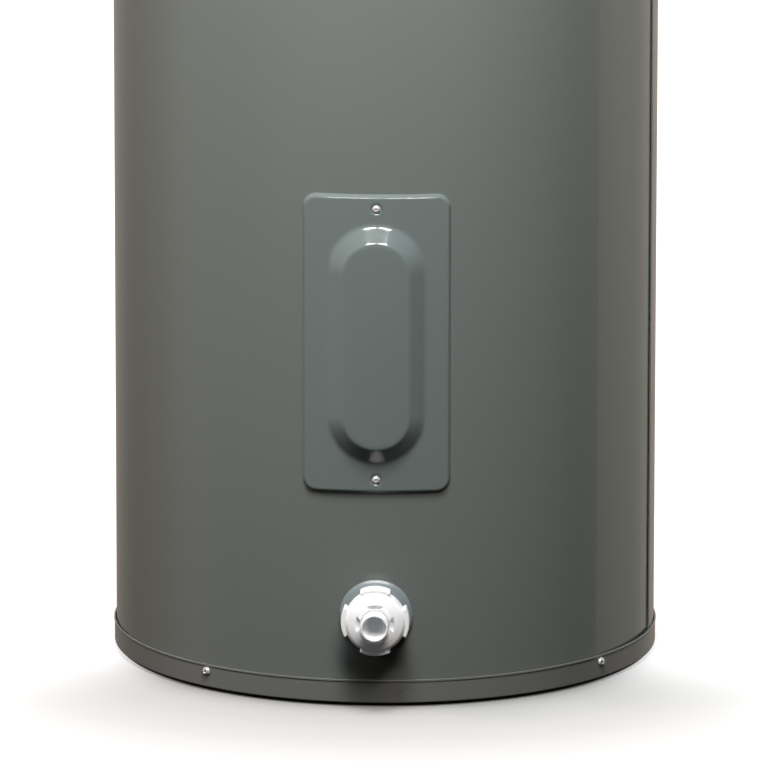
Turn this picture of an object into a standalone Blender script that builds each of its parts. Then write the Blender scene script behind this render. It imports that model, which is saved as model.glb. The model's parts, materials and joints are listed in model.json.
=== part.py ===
"""Tank water heater: tall electric storage heater with two immersion elements.

Metres, +Z up, front towards -Y. The origin is the centre of the base pan's flat underside.
Angles round the tank are measured from the front, positive towards +X.
"""
import math

import bmesh
import bpy
from mathutils import Matrix, Vector

MM = 0.001

# ---------------------------------------------------------------- driving dimensions
JACKET_R = 266.4 * MM          # outer radius of the painted jacket
JACKET_T = 1.0 * MM            # jacket sheet
LAP_RISE = 0.6 * MM            # step of the vertical lap seam
LAP_ANGLE = 79.3               # where the lap seam runs
LAP_FADE = 24.0                # degrees over which the lapped sheet settles back to the circle
JACKET_Z0, JACKET_Z1 = 5.8 * MM, 1472.2 * MM
PAN_IN, PAN_T = 267.4 * MM, 0.9 * MM
PAN_RIM_Z = 26.8 * MM
PAN_SCREW_Z = 19.8 * MM
PAN_SCREW_ANGLES = (-38.4, 53.6, 141.6, 233.6)
COVER_SKIRT = 24.0 * MM        # height of the top cover's skirt
COVER_TOP = 1480.0 * MM

TANK_R, TANK_T = 203.0 * MM, 3.0 * MM
TANK_Z0, TANK_Z1 = 33.0 * MM, 1392.0 * MM
HEAD_RISE = 42.0 * MM

PANEL_HALF_W = 72.0 * MM       # measured round the jacket
PANEL_HALF_H = 146.8 * MM
PANEL_CORNER = 14.0 * MM
PANEL_STAND = 4.0 * MM         # face of the panel above the jacket
PANEL_T = 1.0 * MM
BOSS_OUT_W, BOSS_OUT_H = 49.0 * MM, 119.4 * MM     # foot of the raised stadium
BOSS_IN_W, BOSS_IN_H = 29.0 * MM, 100.4 * MM       # its flat top
BOSS_RISE = 11.0 * MM
LOWER_PANEL_Z = 358.4 * MM
UPPER_PANEL_Z = 1106.0 * MM
PANEL_SCREW_DZ = 132.8 * MM
OPENING_HALF_W, OPENING_HALF_H = 55.0 * MM, 126.0 * MM

ELEMENT_DZ = -64.0 * MM        # element below the middle of its panel
THERMOSTAT_DZ = 34.0 * MM      # thermostat above it
SPUD_FACE = 215.0 * MM         # outer face of the element spuds

DRAIN_Z = 91.0 * MM
WHEEL_R, WHEEL_LOBE_R = 29.2 * MM, 33.0 * MM
SPOUT_R, SPOUT_END = 12.9 * MM, 55.0 * MM
DRAIN_PITCH = 4.0 * MM         # plug travel for one turn of the handwheel

RELIEF_ANGLE, RELIEF_Z = 104.0, 1330.0 * MM
NIPPLE_X = 101.6 * MM          # cold at +X, hot at -X, 8 in apart
NIPPLE_R, NIPPLE_BORE = 13.3 * MM, 10.2 * MM
NIPPLE_TOP = 1514.0 * MM
ANODE_X, ANODE_Y = 0.0, 92.0 * MM
BOX_Y = -178.0 * MM            # middle of the junction box

GAP = 0.3 * MM
FINE, MEDIUM, COARSE = 64, 32, 20

for old in list(bpy.data.objects):
    bpy.data.objects.remove(old, do_unlink=True)

scene_collection = bpy.context.scene.collection

# ---------------------------------------------------------------- materials


def material(name, colour, rough, metallic=0.0):
    mat = bpy.data.materials.new(name)
    mat.use_nodes = True
    shader = mat.node_tree.nodes["Principled BSDF"]
    shader.inputs["Base Color"].default_value = (*colour, 1.0)
    shader.inputs["Roughness"].default_value = rough
    shader.inputs["Metallic"].default_value = metallic
    mat.diffuse_color = (*colour, 1.0)
    return mat


PAINT = material("jacket_paint", (0.135, 0.150, 0.142), 0.32)
PAN_PAINT = material("pan_paint", (0.095, 0.100, 0.098), 0.38)
PANEL_PAINT = material("panel_paint", (0.130, 0.152, 0.148), 0.30)
ZINC = material("zinc_screw", (0.62, 0.62, 0.60), 0.28, 1.0)
WHITE = material("white_plastic", (0.86, 0.86, 0.85), 0.35)
GREY_PLASTIC = material("grey_plastic", (0.24, 0.27, 0.28), 0.42)
FOAM = material("foam", (0.78, 0.68, 0.42), 0.95)
PAD = material("insulation_pad", (0.86, 0.80, 0.52), 0.98)
TANK_STEEL = material("tank_steel", (0.10, 0.14, 0.20), 0.55, 0.3)
BRASS = material("brass", (0.72, 0.52, 0.24), 0.30, 1.0)
STEEL = material("plain_steel", (0.52, 0.52, 0.51), 0.38, 1.0)
COPPER = material("element_sheath", (0.58, 0.46, 0.40), 0.35, 1.0)
PHENOLIC = material("black_phenolic", (0.030, 0.030, 0.032), 0.45)
RED_PLASTIC = material("red_plastic", (0.62, 0.05, 0.04), 0.40)
BLUE_PLASTIC = material("blue_plastic", (0.05, 0.16, 0.50), 0.40)
RUBBER = material("rubber", (0.035, 0.035, 0.035), 0.80)
ANODE = material("anode", (0.58, 0.59, 0.60), 0.55, 0.8)
LINER = material("dip_tube_plastic", (0.80, 0.81, 0.78), 0.40)
BLACK_LEAD = material("black_wire", (0.020, 0.020, 0.020), 0.45)
RED_LEAD = material("red_wire", (0.50, 0.03, 0.02), 0.45)
GREEN = material("green_screw", (0.06, 0.36, 0.12), 0.35, 0.6)

# ---------------------------------------------------------------- building blocks


def radial(angle, radius, z):
    a = math.radians(angle)
    return Vector((radius * math.sin(a), -radius * math.cos(a), z))


def facing(angle):
    """Rotation that turns local +Z outwards at this angle, with local +Y upwards."""
    return (math.radians(90), 0.0, math.radians(angle))


def finish(name, bm, mat, loc=(0, 0, 0), rot=(0, 0, 0), smooth=True):
    bmesh.ops.remove_doubles(bm, verts=bm.verts, dist=1e-6)
    bmesh.ops.recalc_face_normals(bm, faces=bm.faces)
    mesh = bpy.data.meshes.new(name)
    bm.to_mesh(mesh)
    bm.free()
    if smooth:
        mesh.shade_smooth()
        mesh.set_sharp_from_angle(angle=math.radians(32))
    if mat:
        mesh.materials.append(mat)
    obj = bpy.data.objects.new(name, mesh)
    scene_collection.objects.link(obj)
    obj.location = loc
    obj.rotation_euler = rot
    return obj


def turned(name, profile, mat, steps=COARSE, loc=(0, 0, 0), rot=(0, 0, 0)):
    """A closed (radius, height) outline spun round local Z."""
    bm = bmesh.new()
    verts = [bm.verts.new((r, 0.0, z)) for r, z in profile]
    edges = []
    for i, v in enumerate(verts):
        w = verts[(i + 1) % len(verts)]
        if v.co.x < 1e-9 and w.co.x < 1e-9:
            continue
        edges.append(bm.edges.new((v, w)))
    bmesh.ops.spin(bm, geom=edges + verts, cent=(0, 0, 0), axis=(0, 0, 1),
                   angle=2 * math.pi, steps=steps, use_merge=True)
    return finish(name, bm, mat, loc, rot)


def extruded(name, outline, z0, z1, mat, loc=(0, 0, 0), rot=(0, 0, 0), smooth=False):
    """A flat outline in local XY pushed from z0 to z1."""
    bm = bmesh.new()
    face = bm.faces.new([bm.verts.new((x, y, z0)) for x, y in outline])
    grown = bmesh.ops.extrude_face_region(bm, geom=[face])
    moved = [g for g in grown["geom"] if isinstance(g, bmesh.types.BMVert)]
    bmesh.ops.translate(bm, vec=(0, 0, z1 - z0), verts=moved)
    return finish(name, bm, mat, loc, rot, smooth)


def circle(radius, steps, x=0.0, y=0.0, phase=0.0):
    return [(x + radius * math.cos(2 * math.pi * k / steps + phase),
             y + radius * math.sin(2 * math.pi * k / steps + phase)) for k in range(steps)]


def rounded_rectangle(half_w, half_h, corner, steps=4):
    points = []
    for cx, cy, start in ((1, 1, 0), (-1, 1, 90), (-1, -1, 180), (1, -1, 270)):
        for k in range(steps + 1):
            a = math.radians(start + 90 * k / steps)
            points.append((cx * (half_w - corner) + corner * math.cos(a),
                           cy * (half_h - corner) + corner * math.sin(a)))
    return points


def box(name, low, high, mat, loc=(0, 0, 0), rot=(0, 0, 0)):
    outline = [(low[0], low[1]), (high[0], low[1]), (high[0], high[1]), (low[0], high[1])]
    return extruded(name, outline, low[2], high[2], mat, loc, rot)


def helper(obj):
    obj.hide_render = True
    obj.display_type = 'WIRE'
    return obj


def cut(target, *cutters):
    for cutter in cutters:
        helper(cutter)
        mod = target.modifiers.new("cut_" + cutter.name, 'BOOLEAN')
        mod.operation = 'DIFFERENCE'
        mod.solver = 'EXACT'
        mod.object = cutter


def join(target, *others):
    for other in others:
        helper(other)
        mod = target.modifiers.new("join_" + other.name, 'BOOLEAN')
        mod.operation = 'UNION'
        mod.solver = 'EXACT'
        mod.object = other


def rod_cutter(name, radius, z0, z1, loc, rot, steps=16):
    return extruded(name, circle(radius, steps), z0, z1, None, loc, rot)


def lead(name, points, radius, mat, resolution=2):
    """An insulated conductor along its route, drawn through evenly spaced points of a smooth curve."""
    pts = [Vector(p) for p in points]
    ends = [pts[0] * 2 - pts[1]] + pts + [pts[-1] * 2 - pts[-2]]
    route = []
    for i in range(1, len(ends) - 2):
        p0, p1, p2, p3 = ends[i - 1:i + 3]
        steps = max(1, min(4, round((p2 - p1).length / (9 * radius))))
        for k in range(steps):
            t = k / steps
            route.append(0.5 * ((2 * p1) + (p2 - p0) * t + (2 * p0 - 5 * p1 + 4 * p2 - p3) * t * t
                                + (3 * p1 - p0 - 3 * p2 + p3) * t ** 3))
    route.append(pts[-1])
    curve = bpy.data.curves.new(name, 'CURVE')
    curve.dimensions = '3D'
    curve.bevel_depth = radius
    curve.bevel_resolution = resolution
    curve.use_fill_caps = True
    spline = curve.splines.new('POLY')
    spline.points.add(len(route) - 1)
    for point, co in zip(spline.points, route):
        point.co = (*co, 1.0)
    curve.materials.append(mat)
    obj = bpy.data.objects.new(name, curve)
    scene_collection.objects.link(obj)
    return obj


# ---------------------------------------------------------------- base pan and jacket

PAN_OUT = PAN_IN + PAN_T
turned("base_pan", [
    (0.0, 0.0), (PAN_OUT - 5.0 * MM, 0.0), (PAN_OUT - 1.4 * MM, 1.6 * MM), (PAN_OUT, 5.2 * MM),
    (PAN_OUT, PAN_RIM_Z - 2.4 * MM), (PAN_OUT + 0.8 * MM, PAN_RIM_Z - 1.4 * MM), (PAN_OUT + 0.8 * MM, PAN_RIM_Z - 0.3 * MM),
    (PAN_IN, PAN_RIM_Z), (PAN_IN, 5.2 * MM), (PAN_IN - 5.0 * MM, 1.2 * MM), (0.0, 1.2 * MM),
], PAN_PAINT, FINE)
base_pan = bpy.data.objects["base_pan"]

SCREW_SHANK = 1.9 * MM


def pan_head_screw(name, loc, rot, reach=9.0 * MM, head=4.0 * MM, mat=ZINC):
    """Washer-faced sheet-metal screw, its seat at local z = 0 and its head outwards."""
    rise = head * 0.62
    return turned(name, [
        (0.0, -reach), (SCREW_SHANK, -reach + 3.4 * MM), (SCREW_SHANK, 0.0), (head, 0.0), (head, 0.5 * MM),
        (head * 0.72, rise * 0.8), (0.0, rise),
    ], mat, 10, loc, rot)


for number, angle in enumerate(PAN_SCREW_ANGLES, 1):
    pan_head_screw(f"base_screw_{number}", radial(angle, PAN_OUT + GAP, PAN_SCREW_Z), facing(angle), head=4.3 * MM)


def jacket_mesh():
    """Rolled sheet whose outer end laps over its start, so that one vertical edge stands proud."""
    angles = sorted([LAP_ANGLE + 360 * k / FINE for k in range(FINE)])
    outer, inner = [], []
    for angle in angles:
        ahead = (angle - LAP_ANGLE) % 360.0
        rise = LAP_RISE * max(0.0, 1.0 - ahead / LAP_FADE)
        outer.append(radial(angle, JACKET_R + rise, 0.0))
        inner.append(radial(angle, JACKET_R - JACKET_T, 0.0))
    outer.append(radial(LAP_ANGLE - 0.05, JACKET_R, 0.0))
    return outer, inner


outer_ring, inner_ring = jacket_mesh()
bm = bmesh.new()
levels = []
for z in (JACKET_Z0, JACKET_Z1):
    levels.append(([bm.verts.new((v.x, v.y, z)) for v in outer_ring], [bm.verts.new((v.x, v.y, z)) for v in inner_ring]))
(lo_out, lo_in), (hi_out, hi_in) = levels
for k in range(len(lo_out)):
    n = (k + 1) % len(lo_out)
    bm.faces.new((lo_out[k], lo_out[n], hi_out[n], hi_out[k]))
for k in range(len(lo_in)):
    n = (k + 1) % len(lo_in)
    bm.faces.new((lo_in[n], lo_in[k], hi_in[k], hi_in[n]))
for rings in levels:
    ring_out, ring_in = rings
    for k in range(FINE):
        n = (k + 1) % FINE
        if k == FINE - 1:
            bm.faces.new((ring_out[k], ring_out[FINE], ring_in[n], ring_in[k]))
            bm.faces.new((ring_out[FINE], ring_out[0], ring_in[0]))
        else:
            bm.faces.new((ring_out[k], ring_out[n], ring_in[n], ring_in[k]))
jacket = finish("jacket", bm, PAINT)

# ---------------------------------------------------------------- tank


def dome(radius, base, rise, steps=4):
    """Points from the rim to the crown of a shallow head."""
    return [(radius * math.cos(math.pi / 2 * k / steps), base + rise * math.sin(math.pi / 2 * k / steps))
            for k in range(steps + 1)]


tank_shell = turned("tank_shell", [
    (TANK_R - TANK_T, TANK_Z0), (TANK_R, TANK_Z0), (TANK_R, TANK_Z1), (TANK_R - TANK_T, TANK_Z1)], TANK_STEEL, MEDIUM)
head_r = TANK_R - TANK_T - 0.5 * MM
top_outer = dome(head_r, TANK_Z1 + 2.0 * MM, HEAD_RISE)
top_inner = dome(head_r - TANK_T, TANK_Z1 + 2.0 * MM, HEAD_RISE - TANK_T)
tank_top_head = turned("tank_top_head", [(head_r, TANK_Z1 - 26.0 * MM)] + top_outer + top_inner[::-1]
                       + [(head_r - TANK_T, TANK_Z1 - 26.0 * MM)], TANK_STEEL, MEDIUM)
low_outer = dome(head_r, TANK_Z0 + 30.0 * MM, HEAD_RISE)
low_inner = dome(head_r - TANK_T, TANK_Z0 + 30.0 * MM, HEAD_RISE - TANK_T)
turned("tank_bottom_head", [(head_r, TANK_Z0 + 4.0 * MM)] + low_outer + low_inner[::-1]
       + [(head_r - TANK_T, TANK_Z0 + 4.0 * MM)], TANK_STEEL, MEDIUM)
turned("tank_support_pad", [
    (0.0, 1.6 * MM), (258.0 * MM, 1.6 * MM), (264.2 * MM, 8.0 * MM), (264.2 * MM, TANK_Z0 - GAP), (0.0, TANK_Z0 - GAP)],
    FOAM, MEDIUM)

element_heights = (LOWER_PANEL_Z + ELEMENT_DZ, UPPER_PANEL_Z + ELEMENT_DZ)
SPUD_BORE = 17.2 * MM
for tag, z in zip(("lower", "upper"), element_heights):
    join(tank_shell, extruded(f"spud_{tag}", circle(26 * MM, 16), 198.0 * MM, SPUD_FACE, None, (0, 0, z), facing(0)))
join(tank_shell, extruded("spud_drain", circle(21 * MM, 14), 198.0 * MM, 214.0 * MM, None, (0, 0, DRAIN_Z), facing(0)))
join(tank_shell, extruded("spud_relief", circle(21 * MM, 14), 198.0 * MM, 214.0 * MM, None, (0, 0, RELIEF_Z), facing(RELIEF_ANGLE)))
for tag, z in zip(("lower", "upper"), element_heights):
    cut(tank_shell, rod_cutter(f"bore_{tag}", SPUD_BORE, 150 * MM, 240 * MM, (0, 0, z), facing(0), 20))
cut(tank_shell, rod_cutter("bore_drain", 13.9 * MM, 150 * MM, 240 * MM, (0, 0, DRAIN_Z), facing(0), 20))
cut(tank_shell, rod_cutter("bore_relief", 13.9 * MM, 150 * MM, 240 * MM, (0, 0, RELIEF_Z), facing(RELIEF_ANGLE), 20))

SPUD_TOP = TANK_Z1 + 46.0 * MM
for tag, x, y in (("cold", NIPPLE_X, 0.0), ("hot", -NIPPLE_X, 0.0), ("anode", ANODE_X, ANODE_Y)):
    join(tank_top_head, extruded(f"spud_{tag}", circle(21 * MM, 14, x, y), TANK_Z1 + 29.0 * MM, SPUD_TOP, None))
for tag, x, y in (("cold", NIPPLE_X, 0.0), ("hot", -NIPPLE_X, 0.0), ("anode", ANODE_X, ANODE_Y)):
    cut(tank_top_head, rod_cutter(f"bore_{tag}", 13.9 * MM, TANK_Z1 - 30 * MM, SPUD_TOP + 20 * MM, (x, y, 0), (0, 0, 0), 20))

# ---------------------------------------------------------------- water connections

nipple_low = TANK_Z1 + 26.0 * MM
for tag, x in (("cold", NIPPLE_X), ("hot", -NIPPLE_X)):
    turned(f"{tag}_nipple", [
        (NIPPLE_BORE, nipple_low), (NIPPLE_R, nipple_low), (NIPPLE_R, NIPPLE_TOP - 14 * MM), (NIPPLE_R - 0.9 * MM, NIPPLE_TOP - 12 * MM),
        (NIPPLE_R - 1.2 * MM, NIPPLE_TOP), (NIPPLE_BORE, NIPPLE_TOP)], STEEL, COARSE, (x, 0, 0))
    turned(f"{tag}_nipple_ring", [
        (NIPPLE_R + 0.4 * MM, COVER_TOP + GAP), (25.0 * MM, COVER_TOP + GAP), (24.0 * MM, COVER_TOP + 2.4 * MM),
        (17.0 * MM, COVER_TOP + 3.6 * MM), (NIPPLE_R + 0.4 * MM, COVER_TOP + 3.6 * MM)],
        BLUE_PLASTIC if tag == "cold" else RED_PLASTIC, COARSE, (x, 0, 0))
dip_r = 8.6 * MM
turned("dip_tube", [
    (dip_r - 1.4 * MM, TANK_Z0 + 190 * MM), (dip_r, TANK_Z0 + 190 * MM), (dip_r, nipple_low + 8 * MM),
    (NIPPLE_BORE - 0.3 * MM, nipple_low + 16 * MM), (NIPPLE_BORE - 0.3 * MM, nipple_low + 20 * MM),
    (dip_r - 1.4 * MM, nipple_low + 20 * MM)], LINER, 16, (NIPPLE_X, 0, 0))
anode_rod = turned("anode_rod", [
    (0.0, 470 * MM), (7.0 * MM, 470 * MM), (9.4 * MM, 473 * MM), (9.4 * MM, TANK_Z1 + 20 * MM), (13.5 * MM, TANK_Z1 + 24 * MM),
    (13.5 * MM, SPUD_TOP + 1 * MM), (0.0, SPUD_TOP + 1 * MM)], ANODE, 16, (ANODE_X, ANODE_Y, 0))
join(anode_rod, extruded("anode_hex", circle(15.6 * MM, 6), SPUD_TOP + 0.6 * MM, SPUD_TOP + 12 * MM, None, (ANODE_X, ANODE_Y, 0)))

# ---------------------------------------------------------------- foam, with its pockets

cavity = dome(TANK_R + 0.4 * MM, TANK_Z1 + 6.0 * MM, HEAD_RISE)
foam = turned("foam_insulation", [(TANK_R + 0.4 * MM, TANK_Z0), (264.3 * MM, TANK_Z0), (264.3 * MM, JACKET_Z1 - 6 * MM),
                                  (0.0, JACKET_Z1 - 6 * MM)] + cavity[::-1], FOAM, MEDIUM)
for tag, z in (("lower", LOWER_PANEL_Z), ("upper", UPPER_PANEL_Z)):
    cut(foam, box(f"pocket_{tag}", (-58 * MM, -290 * MM, z - 136 * MM), (58 * MM, -150 * MM, z + 136 * MM), None))
cut(foam,
    rod_cutter("pocket_drain", 24 * MM, 180 * MM, 290 * MM, (0, 0, DRAIN_Z), facing(0), 24),
    rod_cutter("pocket_relief", 24 * MM, 180 * MM, 290 * MM, (0, 0, RELIEF_Z), facing(RELIEF_ANGLE), 24),
    rod_cutter("pocket_cold", 23 * MM, TANK_Z1, 1600 * MM, (NIPPLE_X, 0, 0), (0, 0, 0), 24),
    rod_cutter("pocket_hot", 23 * MM, TANK_Z1, 1600 * MM, (-NIPPLE_X, 0, 0), (0, 0, 0), 24),
    rod_cutter("pocket_anode", 23 * MM, TANK_Z1, 1600 * MM, (ANODE_X, ANODE_Y, 0), (0, 0, 0), 24),
    box("wire_channel", (-13 * MM, -290 * MM, LOWER_PANEL_Z), (13 * MM, -247 * MM, 1400 * MM), None),
    box("box_pocket", (-46 * MM, BOX_Y - 38 * MM, 1402 * MM), (46 * MM, BOX_Y + 38 * MM, 1600 * MM), None),
    box("wire_rise", (-13 * MM, -262 * MM, 1290 * MM), (13 * MM, BOX_Y - 18 * MM, 1430 * MM), None))

# ---------------------------------------------------------------- heating elements

for tag, z in zip(("lower", "upper"), element_heights):
    at, turn = (0, 0, z), facing(0)
    turned(f"{tag}_element_gasket", [
        (17.6 * MM, SPUD_FACE + GAP), (24.0 * MM, SPUD_FACE + GAP), (24.0 * MM, SPUD_FACE + 2.5 * MM), (17.6 * MM, SPUD_FACE + 2.5 * MM)],
        RUBBER, COARSE, at, turn)
    element = extruded(f"{tag}_element_head", circle(21.9 * MM, 6), SPUD_FACE + 2.8 * MM, SPUD_FACE + 11 * MM, STEEL, at, turn)
    join(element,
         extruded(f"{tag}_plug", circle(16.7 * MM, 24), 197.5 * MM, SPUD_FACE + 4 * MM, None, at, turn),
         extruded(f"{tag}_block", rounded_rectangle(14 * MM, 9 * MM, 2 * MM, 2), SPUD_FACE + 10 * MM, SPUD_FACE + 22 * MM, None, at, turn))
    reach, spread = 60.0 * MM, 8.0 * MM
    u_bend = [(spread * math.cos(math.radians(a)), reach + spread * math.sin(math.radians(a)), z) for a in (0, 30, 60, 90, 120, 150, 180)]
    lead(f"{tag}_element_sheath", [(spread, -197.2 * MM, z), (spread, -120 * MM, z), (spread, -30 * MM, z)] + u_bend
         + [(-spread, -30 * MM, z), (-spread, -120 * MM, z), (-spread, -197.2 * MM, z)], 4.0 * MM, COPPER, 2)

# ---------------------------------------------------------------- thermostats
# Each stands against the tank wall above its element, held by a spring bracket.

THERMO_BACK, THERMO_FRONT = 205.4 * MM, 228.0 * MM
DIAL_X = -13.0 * MM
thermostats = (("lower", LOWER_PANEL_Z + THERMOSTAT_DZ, 30.0 * MM), ("upper", UPPER_PANEL_Z + THERMOSTAT_DZ + 12 * MM, 46.0 * MM))
for tag, z, half in thermostats:
    at, turn = (0, 0, z), facing(0)
    bracket = [(-27 * MM, 203.5 * MM), (27 * MM, 203.5 * MM), (27 * MM, 214 * MM), (25.8 * MM, 214 * MM), (25.8 * MM, 204.8 * MM),
               (-25.8 * MM, 204.8 * MM), (-25.8 * MM, 214 * MM), (-27 * MM, 214 * MM)]
    extruded(f"{tag}_thermostat_bracket", [(x, -r) for x, r in bracket], -half - 6 * MM, half - 4 * MM, STEEL, at)
    body = extruded(f"{tag}_thermostat", rounded_rectangle(25 * MM, half, 3 * MM, 2), THERMO_BACK, THERMO_FRONT - 4 * MM, PHENOLIC, at, turn)
    dial_y = -half + 14 * MM
    join(body, extruded(f"{tag}_thermo_step", rounded_rectangle(22 * MM, half - 5 * MM, 3 * MM, 2), THERMO_FRONT - 5 * MM, THERMO_FRONT, None, at, turn))
    for side, (tx, ty) in enumerate(((12 * MM, -half + 14 * MM), (12 * MM, half - 10 * MM), (-12 * MM, half - 10 * MM))):
        join(body, extruded(f"{tag}_terminal_{side}", circle(4 * MM, 8, tx, ty), THERMO_FRONT - 2 * MM, THERMO_FRONT + 2.5 * MM, None, at, turn))
    cut(body, rod_cutter(f"{tag}_dial_well", 9.6 * MM, THERMO_FRONT - 3 * MM, THERMO_FRONT + 10 * MM,
                         (DIAL_X, 0, z + dial_y), turn, 24))
    dial = turned(f"{tag}_thermostat_dial", [
        (0.0, -2.6 * MM), (8.8 * MM, -2.6 * MM), (8.8 * MM, 0.6 * MM), (8.0 * MM, 1.6 * MM), (0.0, 1.6 * MM)],
        WHITE, COARSE, (DIAL_X, -THERMO_FRONT, z + dial_y), turn)
    cut(dial, box(f"{tag}_dial_slot", (-0.9 * MM, -6.5 * MM, 0.2 * MM), (0.9 * MM, 6.5 * MM, 5 * MM), None, (DIAL_X, -THERMO_FRONT, z + dial_y), turn))

reset_z = thermostats[1][1] + 13 * MM
cut(bpy.data.objects["upper_thermostat"], rod_cutter("reset_well", 5.0 * MM, THERMO_FRONT - 6 * MM, THERMO_FRONT + 10 * MM, (0, 0, reset_z), facing(0), 16))
turned("reset_button", [(0.0, -3.4 * MM), (4.5 * MM, -3.4 * MM), (4.5 * MM, 2.0 * MM), (3.6 * MM, 2.8 * MM), (0.0, 2.8 * MM)],
       RED_PLASTIC, 16, (0, -THERMO_FRONT, reset_z), facing(0))

# ---------------------------------------------------------------- access panels


def panel_height(u, v):
    """How far the panel's outer skin stands off its flat margin: a stadium boss with sloping, rounded sides."""
    straight = BOSS_OUT_H - BOSS_OUT_W
    d = math.hypot(u, max(0.0, abs(v) - straight))
    t = (BOSS_OUT_W - d) / (BOSS_OUT_W - BOSS_IN_W)
    t = max(0.0, min(1.0, t))
    return BOSS_RISE * t * t * (3 - 2 * t)


def panel_loops():
    """Closed loops from the panel's edge to the middle, as (u, v, stand-off of the outer skin)."""
    rim = []
    for k in range(6):
        rim.append((-PANEL_HALF_W + PANEL_CORNER + (2 * PANEL_HALF_W - 2 * PANEL_CORNER) * k / 6, -PANEL_HALF_H))
    top = [(-u, -v) for u, v in rim]
    corner = lambda cx, cy, start: [(cx + PANEL_CORNER * math.cos(math.radians(start + 90 * k / 4)),
                                     cy + PANEL_CORNER * math.sin(math.radians(start + 90 * k / 4))) for k in range(4)]
    cu, cv = PANEL_HALF_W - PANEL_CORNER, PANEL_HALF_H - PANEL_CORNER
    side = [(PANEL_HALF_W, -cv + 2 * cv * k / 6) for k in range(6)]
    outline = rim + corner(cu, -cv, -90) + side + corner(cu, cv, 0) + top + corner(-cu, cv, 90) \
        + [(-u, -v) for u, v in side] + corner(-cu, -cv, 180)
    loops = [[(u, v, 0.4 * MM) for u, v in outline]]
    for inset, stand in ((0.6, 2.4), (3.6, 4.0)):
        k_u, k_v = 1 - inset * MM / PANEL_HALF_W, 1 - inset * MM / PANEL_HALF_H
        loops.append([(u * k_u, v * k_v, stand * MM) for u, v in outline])

    def stadium(half_w, half_h):
        loop = []
        straight = half_h - half_w
        for u, v in outline:
            # where the ray from the middle through this outline point meets the stadium
            lo, hi = 0.0, 1.0
            for _ in range(40):
                mid = (lo + hi) / 2
                d = math.hypot(u * mid, max(0.0, abs(v * mid) - straight))
                lo, hi = (mid, hi) if d < half_w else (lo, mid)
            loop.append((u * lo, v * lo))
        return loop

    for t in (0.0, 0.3, 0.7, 1.0):
        half_w = BOSS_OUT_W + (BOSS_IN_W - BOSS_OUT_W) * t
        half_h = BOSS_OUT_H + (BOSS_IN_H - BOSS_OUT_H) * t
        loops.append([(u, v, PANEL_STAND + panel_height(u, v)) for u, v in stadium(half_w, half_h)])
    return loops


def access_panel(name, z):
    def at(u, v, stand):
        p = radial(math.degrees(u / JACKET_R), JACKET_R + stand, v)
        return bm.verts.new((p.x, p.y + JACKET_R, p.z))

    bm = bmesh.new()
    loops = panel_loops()
    skins = []
    for offset in (0.0, -PANEL_T):
        rings = []
        for i, loop in enumerate(loops):
            shrink = 1 - PANEL_T / PANEL_HALF_W if offset and i < 2 else 1.0
            shrink_v = 1 - PANEL_T / PANEL_HALF_H if offset and i < 2 else 1.0
            lift = 0.0 if i == 0 else (offset * (0.35 if i == 1 else 1.0))
            rings.append([at(u * shrink, v * shrink_v, s + lift) for u, v, s in loop])
        centre = at(0, 0, PANEL_STAND + BOSS_RISE + offset)
        for a, b in zip(rings, rings[1:]):
            for k in range(len(a)):
                n = (k + 1) % len(a)
                bm.faces.new((a[k], a[n], b[n], b[k]) if offset == 0.0 else (a[n], a[k], b[k], b[n]))
        last = rings[-1]
        for k in range(len(last)):
            n = (k + 1) % len(last)
            bm.faces.new((last[k], last[n], centre) if offset == 0.0 else (last[n], last[k], centre))
        skins.append(rings[0])
    a, b = skins
    for k in range(len(a)):
        n = (k + 1) % len(a)
        bm.faces.new((a[n], a[k], b[k], b[n]))
    return finish(name, bm, PANEL_PAINT, (0, -JACKET_R, z))


def sector(name, r0, r1, half_angle, z0, z1, mat, steps=8):
    outline = [tuple(radial(-half_angle + 2 * half_angle * k / steps, r1, 0)[:2]) for k in range(steps + 1)]
    outline += [tuple(radial(half_angle - 2 * half_angle * k / steps, r0, 0)[:2]) for k in range(steps + 1)]
    return extruded(name, outline, z0, z1, mat)


DIMPLE = 1.6 * MM
for tag, z in (("lower", LOWER_PANEL_Z), ("upper", UPPER_PANEL_Z)):
    panel = access_panel(f"{tag}_access_panel", z)
    cut(jacket, extruded(f"{tag}_opening", rounded_rectangle(OPENING_HALF_W, OPENING_HALF_H, 10 * MM, 3), 240 * MM, 290 * MM, None,
                         (0, 0, z), facing(0)))
    for number, side in enumerate((1, -1), 1):
        spot = (0, 0, z + side * PANEL_SCREW_DZ)
        cut(panel, rod_cutter(f"{tag}_panel_hole_{number}", 2.3 * MM, 250 * MM, 290 * MM, spot, facing(0), 12))
        cut(jacket, rod_cutter(f"{tag}_jacket_hole_{number}", 2.2 * MM, 250 * MM, 290 * MM, spot, facing(0), 12))
        pan_head_screw(f"{tag}_panel_screw_{number}", (0, -(JACKET_R + PANEL_STAND + GAP), spot[2]), facing(0), reach=13 * MM, head=3.9 * MM)
    sector(f"{tag}_insulation_pad", 245.0 * MM, 264.6 * MM, 11.4, z - 116 * MM, z + 116 * MM, PAD)
for number in range(1, 5):
    angle = PAN_SCREW_ANGLES[number - 1]
    cut(base_pan, rod_cutter(f"pan_hole_{number}", 2.2 * MM, 255 * MM, 280 * MM, (0, 0, PAN_SCREW_Z), facing(angle), 12))
    cut(jacket, rod_cutter(f"jacket_pan_hole_{number}", 2.2 * MM, 255 * MM, 280 * MM, (0, 0, PAN_SCREW_Z), facing(angle), 12))
    cut(bpy.data.objects["tank_support_pad"], rod_cutter(f"pad_hole_{number}", 4 * MM, 250 * MM, 280 * MM, (0, 0, PAN_SCREW_Z), facing(angle), 8))

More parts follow.
